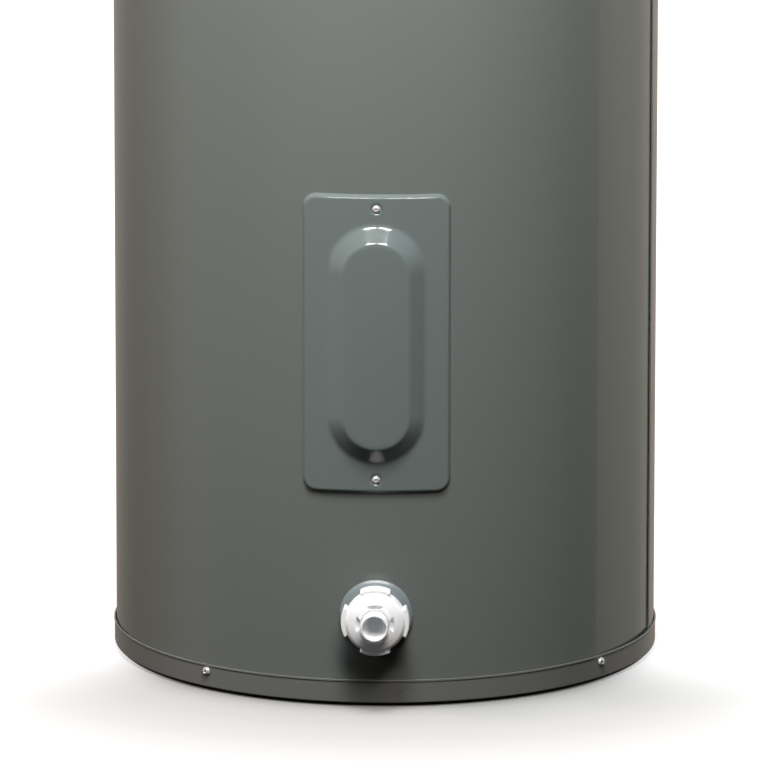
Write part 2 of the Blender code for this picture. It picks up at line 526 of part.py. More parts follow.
cut(jacket, rod_cutter("jacket_drain_hole", 19 * MM, 240 * MM, 290 * MM, (0, 0, DRAIN_Z), facing(0), 24))
cut(jacket, rod_cutter("jacket_relief_hole", 19 * MM, 240 * MM, 290 * MM, (0, 0, RELIEF_Z), facing(RELIEF_ANGLE), 24))

# ---------------------------------------------------------------- top cover and junction box

SKIRT_Z = COVER_TOP - COVER_SKIRT
top_cover = turned("top_cover", [
    (0.0, COVER_TOP - 1.0 * MM), (0.0, COVER_TOP), (PAN_OUT - 9.0 * MM, COVER_TOP), (PAN_OUT - 2.6 * MM, COVER_TOP - 2.0 * MM),
    (PAN_OUT, COVER_TOP - 7.0 * MM), (PAN_OUT, SKIRT_Z + 2.4 * MM), (PAN_OUT + 0.8 * MM, SKIRT_Z + 1.4 * MM),
    (PAN_OUT + 0.8 * MM, SKIRT_Z + 0.3 * MM), (PAN_IN, SKIRT_Z), (PAN_IN, COVER_TOP - 7.2 * MM),
    (PAN_IN - 7.0 * MM, COVER_TOP - 1.2 * MM)], PAN_PAINT, FINE)
cut(top_cover,
    rod_cutter("cover_cold", 15.5 * MM, 1400 * MM, 1600 * MM, (NIPPLE_X, 0, 0), (0, 0, 0), 24),
    rod_cutter("cover_hot", 15.5 * MM, 1400 * MM, 1600 * MM, (-NIPPLE_X, 0, 0), (0, 0, 0), 24),
    rod_cutter("cover_anode", 20.0 * MM, 1400 * MM, 1600 * MM, (ANODE_X, ANODE_Y, 0), (0, 0, 0), 24),
    box("cover_box", (-40 * MM, BOX_Y - 30 * MM, 1400 * MM), (40 * MM, BOX_Y + 30 * MM, 1600 * MM), None),
    rod_cutter("cover_screw_hole", 2.2 * MM, 1400 * MM, 1600 * MM, (0, BOX_Y + 39.5 * MM, 0), (0, 0, 0), 12))

BOX_FLOOR, BOX_RIM = 1424.0 * MM, COVER_TOP - 1.4 * MM
junction_box = box("junction_box", (-43 * MM, BOX_Y - 33 * MM, BOX_FLOOR), (43 * MM, BOX_Y + 33 * MM, BOX_RIM), STEEL)
cut(junction_box,
    box("box_hollow", (-41.6 * MM, BOX_Y - 31.6 * MM, BOX_FLOOR + 1.4 * MM), (41.6 * MM, BOX_Y + 31.6 * MM, 1600 * MM), None),
    rod_cutter("box_bush", 8.0 * MM, 1400 * MM, 1440 * MM, (0, BOX_Y - 20 * MM, 0), (0, 0, 0), 16),
    rod_cutter("box_ground_hole", 2.2 * MM, 1400 * MM, 1440 * MM, (26 * MM, BOX_Y + 10 * MM, 0), (0, 0, 0), 12))
pan_head_screw("ground_screw", (26 * MM, BOX_Y + 10 * MM, BOX_FLOOR + 1.4 * MM + GAP), (0, 0, 0), reach=8 * MM, head=4.6 * MM, mat=GREEN)
junction_cover = extruded("junction_cover", [(x, y + BOX_Y + 5 * MM) for x, y in rounded_rectangle(47 * MM, 42 * MM, 6 * MM, 3)],
                          COVER_TOP + GAP, COVER_TOP + 2.3 * MM, PAN_PAINT)
cut(junction_cover,
    rod_cutter("plate_screw_hole", 2.2 * MM, 1400 * MM, 1600 * MM, (0, BOX_Y + 39.5 * MM, 0), (0, 0, 0), 12),
    rod_cutter("conduit_knockout", 11.0 * MM, 1400 * MM, 1600 * MM, (0, BOX_Y - 6 * MM, 0), (0, 0, 0), 24))
pan_head_screw("junction_cover_screw", (0, BOX_Y + 39.5 * MM, COVER_TOP + 2.3 * MM + GAP), (0, 0, 0), reach=7.5 * MM, head=3.9 * MM)

# ---------------------------------------------------------------- internal leads

upper_z, upper_half = thermostats[1][1], thermostats[1][2]
lower_z, lower_half = thermostats[0][1], thermostats[0][2]
FRONT = -(THERMO_FRONT + 2.5 * MM)
for tag, side, mat in (("black", 1, BLACK_LEAD), ("red", -1, RED_LEAD)):
    lead(f"supply_wire_{tag}", [
        (side * 18 * MM, BOX_Y + 6 * MM, 1446 * MM), (side * 14 * MM, BOX_Y - 10 * MM, 1447 * MM), (side * 3.4 * MM, BOX_Y - 20 * MM, 1436 * MM),
        (side * 3.4 * MM, BOX_Y - 22 * MM, 1418 * MM), (side * 4 * MM, -214 * MM, 1396 * MM), (side * 5 * MM, -240 * MM, 1368 * MM),
        (side * 6 * MM, -253 * MM, 1330 * MM), (side * 6 * MM, -254.5 * MM, 1270 * MM), (side * 6.4 * MM, -252 * MM, UPPER_PANEL_Z + 141 * MM),
        (side * 7 * MM, -249.6 * MM, UPPER_PANEL_Z + 133 * MM), (side * 8 * MM, -242.4 * MM, UPPER_PANEL_Z + 119 * MM),
        (side * 10 * MM, -240.4 * MM, UPPER_PANEL_Z + 108 * MM), (side * 12 * MM, -237 * MM, upper_z + upper_half - 4 * MM),
        (side * 12 * MM, FRONT - 3.0 * MM, upper_z + upper_half - 10 * MM)], 1.7 * MM, mat)
for tag, side, mat in (("black", 1, BLACK_LEAD), ("red", -1, RED_LEAD)):
    x0 = 29.5 * MM * side
    lead(f"lower_wire_{tag}", [
        (x0, -236 * MM, upper_z + 8 * MM), (x0, -237 * MM, upper_z - 30 * MM), (side * 22 * MM, -240 * MM, upper_z - 92 * MM),
        (side * 9 * MM, -241 * MM, UPPER_PANEL_Z - 108 * MM), (side * 8 * MM, -242.4 * MM, UPPER_PANEL_Z - 119 * MM),
        (side * 6.4 * MM, -249.6 * MM, UPPER_PANEL_Z - 133 * MM), (side * 5.8 * MM, -253 * MM, UPPER_PANEL_Z - 146 * MM),
        (side * 5.5 * MM, -256 * MM, 840 * MM), (side * 5.5 * MM, -256 * MM, 620 * MM), (side * 5.8 * MM, -253 * MM, LOWER_PANEL_Z + 146 * MM),
        (side * 6.4 * MM, -249.6 * MM, LOWER_PANEL_Z + 133 * MM), (side * 8 * MM, -242.4 * MM, LOWER_PANEL_Z + 119 * MM),
        (side * 10 * MM, -240.4 * MM, LOWER_PANEL_Z + 106 * MM), (side * 12 * MM, -237 * MM, lower_z + lower_half - 4 * MM),
        (side * 12 * MM, FRONT - 3.0 * MM, lower_z + lower_half - 10 * MM)], 1.7 * MM, mat)

# ---------------------------------------------------------------- temperature and pressure relief valve
# Local +Z points outwards from the tank wall, local +Y upwards, and z is the distance from the tank's axis.

R_AT, R_TURN = (0, 0, RELIEF_Z), facing(RELIEF_ANGLE)
BONNET = 344.0 * MM
relief = turned("relief_valve_body", [
    (8.0 * MM, 196 * MM), (13.3 * MM, 196 * MM), (13.3 * MM, 272 * MM), (19.5 * MM, 275 * MM), (20.5 * MM, 281 * MM), (20.5 * MM, 306 * MM),
    (16.0 * MM, 311 * MM), (15.0 * MM, BONNET - 3 * MM), (13.0 * MM, BONNET), (4.0 * MM, BONNET), (4.0 * MM, 312 * MM), (8.0 * MM, 308 * MM)],
    BRASS, COARSE, R_AT, R_TURN)
join(relief,
     extruded("relief_branch", circle(16.5 * MM, 24), 0.0, 44 * MM, None, radial(RELIEF_ANGLE, 293 * MM, RELIEF_Z), (math.radians(180), 0, 0)),
     box("relief_ear_a", (8.9 * MM, -5 * MM, BONNET - 6 * MM), (11.5 * MM, 5 * MM, BONNET + 12 * MM), None, R_AT, R_TURN),
     box("relief_ear_b", (-11.5 * MM, -5 * MM, BONNET - 6 * MM), (-8.9 * MM, 5 * MM, BONNET + 12 * MM), None, R_AT, R_TURN))
cut(relief,
    extruded("relief_outlet_bore", circle(11.0 * MM, 24), 0.0, 60 * MM, None, radial(RELIEF_ANGLE, 293 * MM, RELIEF_Z), (math.radians(180), 0, 0)),
    rod_cutter("relief_bore", 8.4 * MM, 190 * MM, 310.6 * MM, R_AT, R_TURN, 24),
    rod_cutter("relief_stem_bore", 4.2 * MM, 300 * MM, BONNET + 1 * MM, R_AT, R_TURN, 24))
turned("relief_valve_stem", [
    (0.0, 300 * MM), (6.5 * MM, 300 * MM), (6.5 * MM, 304 * MM), (2.6 * MM, 306 * MM), (2.6 * MM, BONNET + 3 * MM), (4.2 * MM, BONNET + 3 * MM),
    (4.2 * MM, BONNET + 5.5 * MM), (0.0, BONNET + 5.5 * MM)], STEEL, 16, R_AT, R_TURN)
LEVER_Z = BONNET + 7.0 * MM
lever_side = [(-4 * MM, -1.6 * MM), (-4 * MM, 1.8 * MM), (-2.5 * MM, 3.6 * MM), (2.5 * MM, 3.6 * MM), (12 * MM, 2.4 * MM), (34 * MM, 4.4 * MM),
              (46 * MM, 10.4 * MM), (47 * MM, 8.2 * MM), (35 * MM, 2.0 * MM), (12 * MM, -0.6 * MM), (2.5 * MM, -2.8 * MM), (-2.5 * MM, -2.8 * MM)]
relief_pivot = radial(RELIEF_ANGLE, LEVER_Z, RELIEF_Z)
relief_lever = extruded("relief_valve_lever", lever_side, -8.5 * MM, 8.5 * MM, STEEL)
# the outline lies in (up, outward), so it is turned to put local Z across the lever
across = Vector((math.cos(math.radians(RELIEF_ANGLE)), math.sin(math.radians(RELIEF_ANGLE)), 0))
outward = radial(RELIEF_ANGLE, 1.0, 0)
relief_lever.matrix_world = Matrix.Translation(relief_pivot) @ Matrix((
    (0, outward.x, across.x, 0), (0, outward.y, across.y, 0), (1, 0, 0, 0), (0, 0, 0, 1)))
cut(relief_lever, box("lever_fork", (-20 * MM, -9 * MM, -12 * MM), (20 * MM, 10.5 * MM, 12 * MM), None, (0, 0, 0)))
fork = bpy.data.objects["lever_fork"]
for vert in fork.data.vertices:
    vert.co = Vector((vert.co.y, vert.co.z, vert.co.x * (5.2 / 20)))
fork.matrix_world = relief_lever.matrix_world
fork.data.update()
bm = bmesh.new()
bm.from_mesh(fork.data)
bmesh.ops.recalc_face_normals(bm, faces=bm.faces)
bm.to_mesh(fork.data)
bm.free()
relief_ring = turned("relief_escutcheon", [
    (14.5 * MM, 262.0 * MM), (30.0 * MM, 262.0 * MM), (30.0 * MM, JACKET_R + 1.8 * MM), (27.0 * MM, JACKET_R + 3.2 * MM),
    (16.0 * MM, JACKET_R + 4.6 * MM), (14.5 * MM, JACKET_R + 4.6 * MM)], GREY_PLASTIC, COARSE, R_AT, R_TURN)

# ---------------------------------------------------------------- drain valve
# Local z = 0 is the jacket's face, positive towards the front.

D_AT, D_TURN = (0, -JACKET_R, DRAIN_Z), facing(0)
drain_ring = turned("drain_escutcheon", [
    (14.6 * MM, -6.0 * MM), (35.2 * MM, -6.0 * MM), (35.2 * MM, 1.2 * MM), (34.2 * MM, 2.2 * MM), (25.0 * MM, 6.2 * MM),
    (16.0 * MM, 7.4 * MM), (14.6 * MM, 7.4 * MM)], GREY_PLASTIC, 32, D_AT, D_TURN)
body_clear = extruded("jacket_body", circle(JACKET_R + 0.45 * MM, FINE, 0, 0, math.radians(LAP_ANGLE - 90)), 0.0, 1500 * MM, None)
cut(drain_ring, body_clear)
relief_clear = extruded("jacket_body_relief", circle(JACKET_R + LAP_RISE + 0.3 * MM, FINE), 0.0, 1500 * MM, None)
cut(relief_ring, relief_clear)

# The handwheel's skirt runs round the collar of the body, and the plug closes against the narrow end of the bore.
turned("drain_valve_body", [
    (7.0 * MM, -70.0 * MM), (13.2 * MM, -70.0 * MM), (13.2 * MM, -50.0 * MM), (13.9 * MM, -48.0 * MM), (13.9 * MM, 14.0 * MM),
    (18.0 * MM, 15.0 * MM), (18.0 * MM, 19.0 * MM), (13.2 * MM, 20.0 * MM), (13.2 * MM, 22.0 * MM), (9.2 * MM, 22.0 * MM),
    (9.2 * MM, -18.0 * MM), (7.0 * MM, -21.0 * MM)], WHITE, COARSE, D_AT, D_TURN)
turned("drain_plug", [
    (0.0, -17.6 * MM + 3.3 * MM), (8.4 * MM, -14.3 * MM), (8.4 * MM, -9.0 * MM), (3.0 * MM, -7.0 * MM), (3.0 * MM, 12.0 * MM), (0.0, 12.0 * MM)],
    WHITE, 16, D_AT, D_TURN)
turned("drain_seal", [(0.0, -17.6 * MM), (8.6 * MM, -17.6 * MM), (8.6 * MM, -14.7 * MM), (0.0, -14.7 * MM)], RUBBER, 16, D_AT, D_TURN)
turned("drain_spout", [
    (8.1 * MM, 22.4 * MM), (13.1 * MM, 22.4 * MM), (13.1 * MM, 39.0 * MM), (12.5 * MM, 40.6 * MM), (SPOUT_R + 0.6 * MM, 42.4 * MM),
    (SPOUT_R + 0.6 * MM, 51.4 * MM), (SPOUT_R, 53.8 * MM), (SPOUT_R, SPOUT_END), (11.3 * MM, SPOUT_END), (8.1 * MM, 37.0 * MM)],
    WHITE, 24, D_AT, D_TURN)
wheel = turned("drain_handwheel", [
    (13.7 * MM, 36.8 * MM), (15.5 * MM, 37.8 * MM), (21.0 * MM, 36.6 * MM), (27.6 * MM, 34.0 * MM), (WHEEL_R, 31.8 * MM), (WHEEL_R, 16.6 * MM),
    (WHEEL_R - 2.2 * MM, 16.6 * MM), (WHEEL_R - 2.2 * MM, 31.0 * MM), (21.8 * MM, 33.2 * MM), (21.8 * MM, 14.6 * MM), (19.4 * MM, 14.6 * MM),
    (19.4 * MM, 31.8 * MM), (13.7 * MM, 32.6 * MM)], WHITE, 32, D_AT, D_TURN)


def lobe(name, middle):
    outline = [((WHEEL_R - 1.6 * MM) * math.cos(a), (WHEEL_R - 1.6 * MM) * math.sin(a)) for a in
               [math.radians(middle - 25.5 + 8.5 * k) for k in range(7)]]
    outline += [(WHEEL_LOBE_R * math.cos(a), WHEEL_LOBE_R * math.sin(a)) for a in [math.radians(middle + 27 - 9 * k) for k in range(7)]]
    return extruded(name, outline, 14.6 * MM, 30.6 * MM, None, D_AT, D_TURN)


def slot(name, middle):
    outline = [(14.6 * MM * math.cos(a), 14.6 * MM * math.sin(a)) for a in [math.radians(middle - 20 + 10 * k) for k in range(5)]]
    outline += [(18.8 * MM * math.cos(a), 18.8 * MM * math.sin(a)) for a in [math.radians(middle + 24 - 12 * k) for k in range(5)]]
    return extruded(name, outline, 34.6 * MM, 45 * MM, None, D_AT, D_TURN)


for number, middle in enumerate((0, 90, 180, 270)):
    join(wheel, lobe(f"wheel_lobe_{number}", middle))
for number, middle in enumerate((0, 90, 180, 270)):
    cut(wheel, slot(f"wheel_slot_{number}", middle))
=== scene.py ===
import json
import math
import random

import bmesh
import bpy
from mathutils import Matrix, Vector, noise


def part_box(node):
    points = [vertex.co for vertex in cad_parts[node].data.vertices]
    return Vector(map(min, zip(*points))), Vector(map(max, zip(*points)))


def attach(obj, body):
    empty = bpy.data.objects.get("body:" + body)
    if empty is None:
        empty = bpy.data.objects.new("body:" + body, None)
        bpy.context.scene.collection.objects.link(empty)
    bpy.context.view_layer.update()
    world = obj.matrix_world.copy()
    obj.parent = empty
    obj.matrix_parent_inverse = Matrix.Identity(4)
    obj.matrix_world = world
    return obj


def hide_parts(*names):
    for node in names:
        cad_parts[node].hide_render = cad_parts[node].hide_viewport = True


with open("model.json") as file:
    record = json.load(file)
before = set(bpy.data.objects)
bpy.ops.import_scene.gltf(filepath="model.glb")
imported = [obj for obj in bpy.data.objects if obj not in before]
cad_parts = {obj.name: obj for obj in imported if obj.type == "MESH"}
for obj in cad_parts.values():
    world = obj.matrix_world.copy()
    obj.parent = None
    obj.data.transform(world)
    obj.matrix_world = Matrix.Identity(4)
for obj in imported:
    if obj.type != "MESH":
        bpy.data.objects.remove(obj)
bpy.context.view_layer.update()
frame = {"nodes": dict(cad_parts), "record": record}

MM = 0.001
JACKET_R = 266.4 * MM
PAN_IN, PAN_OUT = 267.4 * MM, 268.3 * MM
LAP_ANGLE, CREASE_ANGLE = 79.3, 52.5
LOWER_PANEL_Z, UPPER_PANEL_Z = 358.4 * MM, 1106.0 * MM
PANEL_SCREW_DZ = 132.8 * MM
DRAIN_Z = 91.0 * MM
RELIEF_ANGLE, RELIEF_Z = 104.0, 1330.0 * MM
NIPPLE_X, NIPPLE_TOP = 101.6 * MM, 1514.0 * MM
COVER_TOP = 1480.0 * MM
BOX_Y = -178.0 * MM

# ------------------------------------------------------------------ camera

YAW, PITCH, ROLL = math.radians(1.85), math.radians(12.496), math.radians(0.064)
DISTANCE, HEIGHT, LATERAL = 9.2497, 2.3104, -0.00125
cam_data = bpy.data.cameras.new("camera")
cam_data.sensor_width = 36.0
cam_data.lens = 449.4
cam_data.clip_end = 100.0
cam = bpy.data.objects.new("camera", cam_data)
bpy.context.scene.collection.objects.link(cam)
right = Vector((math.cos(YAW), math.sin(YAW), 0))
cam.matrix_world = Matrix.Translation(Vector((DISTANCE * math.sin(YAW), -DISTANCE * math.cos(YAW), HEIGHT)) + right * LATERAL) \
    @ Matrix.Rotation(YAW, 4, 'Z') @ Matrix.Rotation(math.radians(90) - PITCH, 4, 'X') @ Matrix.Rotation(ROLL, 4, 'Z')
bpy.context.scene.camera = cam
bpy.context.scene.view_settings.view_transform = 'Standard'

# ------------------------------------------------------------------ materials


class Nodes:
    """A small helper that builds one node material."""

    def __init__(self, name):
        self.mat = bpy.data.materials.new(name)
        self.mat.use_nodes = True
        self.tree = self.mat.node_tree
        self.shader = self.tree.nodes["Principled BSDF"]
        self.coords = self.tree.nodes.new("ShaderNodeTexCoord").outputs["Object"]

    def new(self, kind, **values):
        node = self.tree.nodes.new(kind)
        for key, value in values.items():
            setattr(node, key, value)
        return node

    def link(self, a, b):
        self.tree.links.new(a, b)

    def stretched(self, scale):
        node = self.new("ShaderNodeMapping")
        node.inputs["Scale"].default_value = scale
        self.link(self.coords, node.inputs["Vector"])
        return node.outputs["Vector"]

    def noise(self, scale, detail=3.0, rough=0.5, at=None, distortion=0.0):
        node = self.new("ShaderNodeTexNoise")
        node.inputs["Scale"].default_value = scale
        node.inputs["Detail"].default_value = detail
        node.inputs["Roughness"].default_value = rough
        node.inputs["Distortion"].default_value = distortion
        self.link(at if at is not None else self.coords, node.inputs["Vector"])
        return node.outputs["Fac"]

    def cells(self, scale, feature='F1', at=None):
        node = self.new("ShaderNodeTexVoronoi", feature=feature)
        node.inputs["Scale"].default_value = scale
        self.link(at if at is not None else self.coords, node.inputs["Vector"])
        return node.outputs["Distance"]

    def span(self, value, low, high, a=0.3, b=0.7):
        """The value's a…b range mapped to low…high."""
        node = self.new("ShaderNodeMapRange")
        node.inputs["From Min"].default_value = a
        node.inputs["From Max"].default_value = b
        node.inputs["To Min"].default_value = low
        node.inputs["To Max"].default_value = high
        self.link(value, node.inputs["Value"])
        return node.outputs["Result"]

    def mixed(self, factor, a, b):
        node = self.new("ShaderNodeMix", data_type='RGBA')
        for key, value in ((6, a), (7, b)):
            if isinstance(value, (tuple, list)):
                node.inputs[key].default_value = (*value, 1.0) if len(value) == 3 else value
            else:
                self.link(value, node.inputs[key])
        self.link(factor, node.inputs[0])
        return node.outputs[2]

    def bump(self, *layers):
        """Layers of (height value, depth in metres)."""
        last = None
        for value, depth in layers:
            node = self.new("ShaderNodeBump")
            node.inputs["Strength"].default_value = 1.0
            node.inputs["Distance"].default_value = depth
            self.link(value, node.inputs["Height"])
            if last is not None:
                self.link(last, node.inputs["Normal"])
            last = node.outputs["Normal"]
        self.link(last, self.shader.inputs["Normal"])

    def colour(self, socket):
        self.link(socket, self.shader.inputs["Base Color"])

    def rough(self, socket):
        self.link(socket, self.shader.inputs["Roughness"])

    def set(self, **values):
        for key, value in values.items():
            self.shader.inputs[key.replace("_", " ")].default_value = value
        return self


def tint(colour, k):
    return tuple(min(1.0, c * k) for c in colour)


def enamel(name, colour, rough=0.20, vary=0.035, peel=5e-6, wave=1.2e-4):
    """Baked enamel on rolled sheet: faint orange peel, slight tone drift, long shallow waves in the sheet."""
    m = Nodes(name)
    broad = m.noise(3.2, 2.0, 0.5, m.stretched((1.0, 1.0, 0.45)))
    grain = m.noise(900.0, 2.0, 0.6)
    tone = m.mixed(m.span(broad, 0, 1), tint(colour, 1 - vary), tint(colour, 1 + vary))
    speck = m.mixed(m.span(grain, 0, 1, 0.35, 0.65), tint(colour, 0.985), tint(colour, 1.015))
    m.colour(m.mixed(m.span(m.noise(40.0, 2.0), 0.2, 0.5), tone, speck))
    m.rough(m.span(m.noise(14.0, 4.0, 0.6), rough - 0.025, rough + 0.035))
    m.bump((m.noise(4.0, 1.0, 0.4, m.stretched((1.0, 1.0, 0.35))), wave), (m.noise(420.0, 2.0, 0.5), peel))
    m.set(Metallic=0.0, Specular_IOR_Level=0.5)
    return m.mat


def plated(name, colour, rough=0.22, grain=900.0, depth=4e-6, metallic=0.8):
    m = Nodes(name)
    m.colour(m.mixed(m.span(m.noise(260.0, 4.0, 0.6), 0, 1), tint(colour, 0.86), tint(colour, 1.08)))
    m.rough(m.span(m.noise(700.0, 3.0, 0.6), rough - 0.06, rough + 0.08))
    m.bump((m.noise(grain, 3.0, 0.6), depth))
    m.set(Metallic=metallic)
    return m.mat


def moulded(name, colour, rough=0.34, depth=6e-6, subsurface=0.0, glow=0.0):
    """Injection-moulded plastic with a fine spark-eroded skin and faint flow marks."""
    m = Nodes(name)
    flow = m.noise(38.0, 3.0, 0.5, distortion=0.6)
    m.colour(m.mixed(m.span(flow, 0, 1), tint(colour, 0.965), tint(colour, 1.02)))
    m.rough(m.span(m.noise(180.0, 3.0), rough - 0.05, rough + 0.07))
    m.bump((m.noise(1600.0, 2.0, 0.6), depth), (flow, 3e-5))
    if glow:
        # painted light: the pale plastic glows faintly, lifting its shaded undersides and hollows in place of light
        # passing through its thin walls
        m.set(Emission_Color=(0.94, 0.97, 1.0, 1.0), Emission_Strength=glow)
        m.mat.cycles.emission_sampling = 'NONE'
    if subsurface:
        m.set(Subsurface_Weight=subsurface, Subsurface_Scale=0.007)
        m.shader.inputs["Subsurface Radius"].default_value = (1.0, 0.8, 0.6)
    return m.mat


def rigid_foam(name, colour):
    """Blown foam: closed cells, blotchy tone, and voids darkened with painted shade."""
    m = Nodes(name)
    cell = m.cells(420.0)
    void = m.cells(60.0)
    blotch = m.noise(9.0, 4.0, 0.6)
    base = m.mixed(m.span(blotch, 0, 1), tint(colour, 0.80), tint(colour, 1.06))
    # painted shade: the voids are coloured darker, as shade in the pits
    m.colour(m.mixed(m.span(void, 1.0, 0.0, 0.02, 0.22), base, tint(colour, 0.62)))
    m.rough(m.span(blotch, 0.85, 0.98))
    m.bump((m.noise(22.0, 4.0, 0.6), 2.2e-3), (cell, 7e-4), (void, 9e-4))
    return m.mat


def wool(name, colour):
    """Glass-fibre batt: matted fibres, uneven binder."""
    m = Nodes(name)
    strands = m.noise(260.0, 6.0, 0.75, m.stretched((1.0, 1.0, 3.4)), distortion=1.6)
    tuft = m.noise(36.0, 5.0, 0.65, distortion=0.8)
    binder = m.mixed(m.span(tuft, 0, 1), tint(colour, 0.70), tint(colour, 1.08))
    m.colour(m.mixed(m.span(strands, 0, 1, 0.38, 0.62), binder, tint(colour, 1.18)))
    m.rough(m.span(tuft, 0.92, 1.0))
    m.bump((tuft, 2.5e-3), (strands, 1.2e-3))
    m.set(Sheen_Weight=0.35, Sheen_Roughness=0.6)
    return m.mat


def bare_steel(name, colour, rough=0.42, scale_marks=True):
    """Hot-rolled or drawn steel: mill scale, faint rust blooms."""
    m = Nodes(name)
    scale = m.noise(11.0, 6.0, 0.65, distortion=0.5)
    base = m.mixed(m.span(scale, 0, 1), tint(colour, 0.72), tint(colour, 1.12))
    rust = m.span(m.noise(7.0, 7.0, 0.72), 0.0, 0.55 if scale_marks else 0.12, 0.55, 0.78)
    m.colour(m.mixed(rust, base, (0.16, 0.075, 0.035)))
    m.rough(m.span(scale, rough - 0.08, rough + 0.16))
    m.bump((m.noise(240.0, 4.0, 0.6), 5e-5), (scale, 2e-4))
    m.set(Metallic=0.75)
    return m.mat


def sleeve(name, colour, rough=0.38):
    m = Nodes(name)
    m.colour(m.mixed(m.span(m.noise(90.0, 3.0), 0, 1), tint(colour, 0.82), tint(colour, 1.12)))
    m.rough(m.span(m.noise(300.0, 3.0), rough - 0.05, rough + 0.1))
    m.bump((m.noise(700.0, 2.0), 8e-6), (m.noise(60.0, 2.0), 5e-5))
    return m.mat


MATS = {
    "jacket_paint": enamel("jacket_paint", (0.126, 0.139, 0.130)),
    "pan_paint": enamel("pan_paint", (0.150, 0.158, 0.152), 0.24, 0.04, 6e-6, 6e-5),
    "panel_paint": enamel("panel_paint", (0.124, 0.148, 0.144), 0.09, 0.02, 2e-6, 3e-5),
    "zinc_screw": plated("zinc_screw", (0.82, 0.82, 0.81), 0.26, metallic=0.55),
    # white_plastic carries a faint painted glow that lifts its shade
    "white_plastic": moulded("white_plastic", (0.76, 0.77, 0.775), 0.36, 6e-6, 0.10, glow=0.05),
    "grey_plastic": moulded("grey_plastic", (0.17, 0.20, 0.21), 0.33),
    "foam": rigid_foam("foam", (0.72, 0.58, 0.30)),
    "insulation_pad": wool("insulation_pad", (0.80, 0.70, 0.36)),
    "tank_steel": bare_steel("tank_steel", (0.13, 0.15, 0.18), 0.50),
    "brass": plated("brass", (0.72, 0.50, 0.22), 0.30, 500.0, 1.2e-5),
    "plain_steel": plated("plain_steel", (0.50, 0.50, 0.49), 0.36, 420.0, 1.5e-5),
    "element_sheath": plated("element_sheath", (0.60, 0.44, 0.34), 0.38, 420.0, 1.5e-5),
    "black_phenolic": moulded("black_phenolic", (0.020, 0.020, 0.022), 0.42, 1e-5),
    "red_plastic": moulded("red_plastic", (0.58, 0.030, 0.022), 0.32),
    "blue_plastic": moulded("blue_plastic", (0.020, 0.095, 0.42), 0.32),
    "rubber": sleeve("rubber", (0.028, 0.028, 0.030), 0.62),
    "anode": plated("anode", (0.50, 0.51, 0.52), 0.48, 300.0, 4e-5),
    "dip_tube_plastic": moulded("dip_tube_plastic", (0.74, 0.75, 0.72), 0.40),
    "black_wire": sleeve("black_wire", (0.016, 0.016, 0.017)),
    "red_wire": sleeve("red_wire", (0.44, 0.018, 0.012)),
    "green_screw": plated("green_screw", (0.05, 0.30, 0.10), 0.30),
}

# ------------------------------------------------------------------ mesh helpers


def radial(angle, radius, z):
    a = math.radians(angle)
    return Vector((radius * math.sin(a), -radius * math.cos(a), z))


def outward_frame(angle, radius, z):
    """Local +Z outwards at this angle, local +Y up, origin at this radius and height."""
    return Matrix.Translation(radial(angle, radius, z)) @ Matrix.Rotation(math.radians(angle), 4, 'Z') \
        @ Matrix.Rotation(math.radians(90), 4, 'X')


def filleted(points, radii, steps=4, closed=True):
    """A 2-D outline with its corners rounded. radii is one number, or one for each corner."""
    n = len(points)
    if not isinstance(radii, (list, tuple)):
        radii = [radii] * n
    out = []
    for i in range(n):
        p = Vector(points[i])
        if (not closed and i in (0, n - 1)) or radii[i] <= 0:
            out.append(tuple(p))
            continue
        a, b = Vector(points[i - 1]) - p, Vector(points[(i + 1) % n]) - p
        la, lb = a.length, b.length
        if la < 1e-9 or lb < 1e-9:
            continue
        a.normalize()
        b.normalize()
        half = math.acos(max(-1, min(1, a.dot(b)))) / 2
        if half > math.radians(89):
            out.append(tuple(p))
            continue
        cut = min(radii[i] / math.tan(half), 0.45 * la, 0.45 * lb)
        r = cut * math.tan(half)
        centre = p + (a + b).normalized() * (r / math.sin(half))
        s, e = p + a * cut - centre, p + b * cut - centre
        sweep = s.angle_signed(e)
        for k in range(steps + 1):
            ang = sweep * k / steps
            c, d = math.cos(ang), math.sin(ang)
            # Vector.angle_signed is positive clockwise
            out.append((centre.x + s.x * c + s.y * d, centre.y - s.x * d + s.y * c))
    return out


def mesh_object(name, bm, mat, matrix=None, sharp=32.0, merge=1e-7):
    bmesh.ops.remove_doubles(bm, verts=bm.verts, dist=merge)
    bmesh.ops.recalc_face_normals(bm, faces=bm.faces)
    mesh = bpy.data.meshes.new(name)
    bm.to_mesh(mesh)
    bm.free()
    mesh.shade_smooth()
    mesh.set_sharp_from_angle(angle=math.radians(sharp))
    if matrix is not None:
        mesh.transform(matrix)
    if mat:
        mesh.materials.append(MATS[mat] if isinstance(mat, str) else mat)
    obj = bpy.data.objects.new(name, mesh)
    bpy.context.scene.collection.objects.link(obj)
    return obj


def spun(profile, steps):
    bm = bmesh.new()
    rings = []
    for r, z in profile:
        if r < 1e-7:
            rings.append([bm.verts.new((0, 0, z))])
        else:
            rings.append([bm.verts.new((r * math.cos(2 * math.pi * k / steps), r * math.sin(2 * math.pi * k / steps), z))
                          for k in range(steps)])
    pairs = list(zip(rings, rings[1:] + rings[:1]))
    for a, b in pairs:
        if len(a) == 1 and len(b) == 1:
            continue
        for k in range(steps):
            n = (k + 1) % steps
            if len(a) == 1:
                bm.faces.new((a[0], b[n], b[k]))
            elif len(b) == 1:
                bm.faces.new((a[k], a[n], b[0]))
            else:
                bm.faces.new((a[k], a[n], b[n], b[k]))
    return bm


def turned(name, profile, mat, steps=96, matrix=None, fillet=0.0, sharp=32.0):
    if fillet:
        radii = [0.0 if p[0] < 1e-7 else (fillet if not isinstance(fillet, (list, tuple)) else fillet[i]) for i, p in enumerate(profile)]
        profile = filleted(profile, radii)
    return mesh_object(name, spun(profile, steps), mat, matrix, sharp)


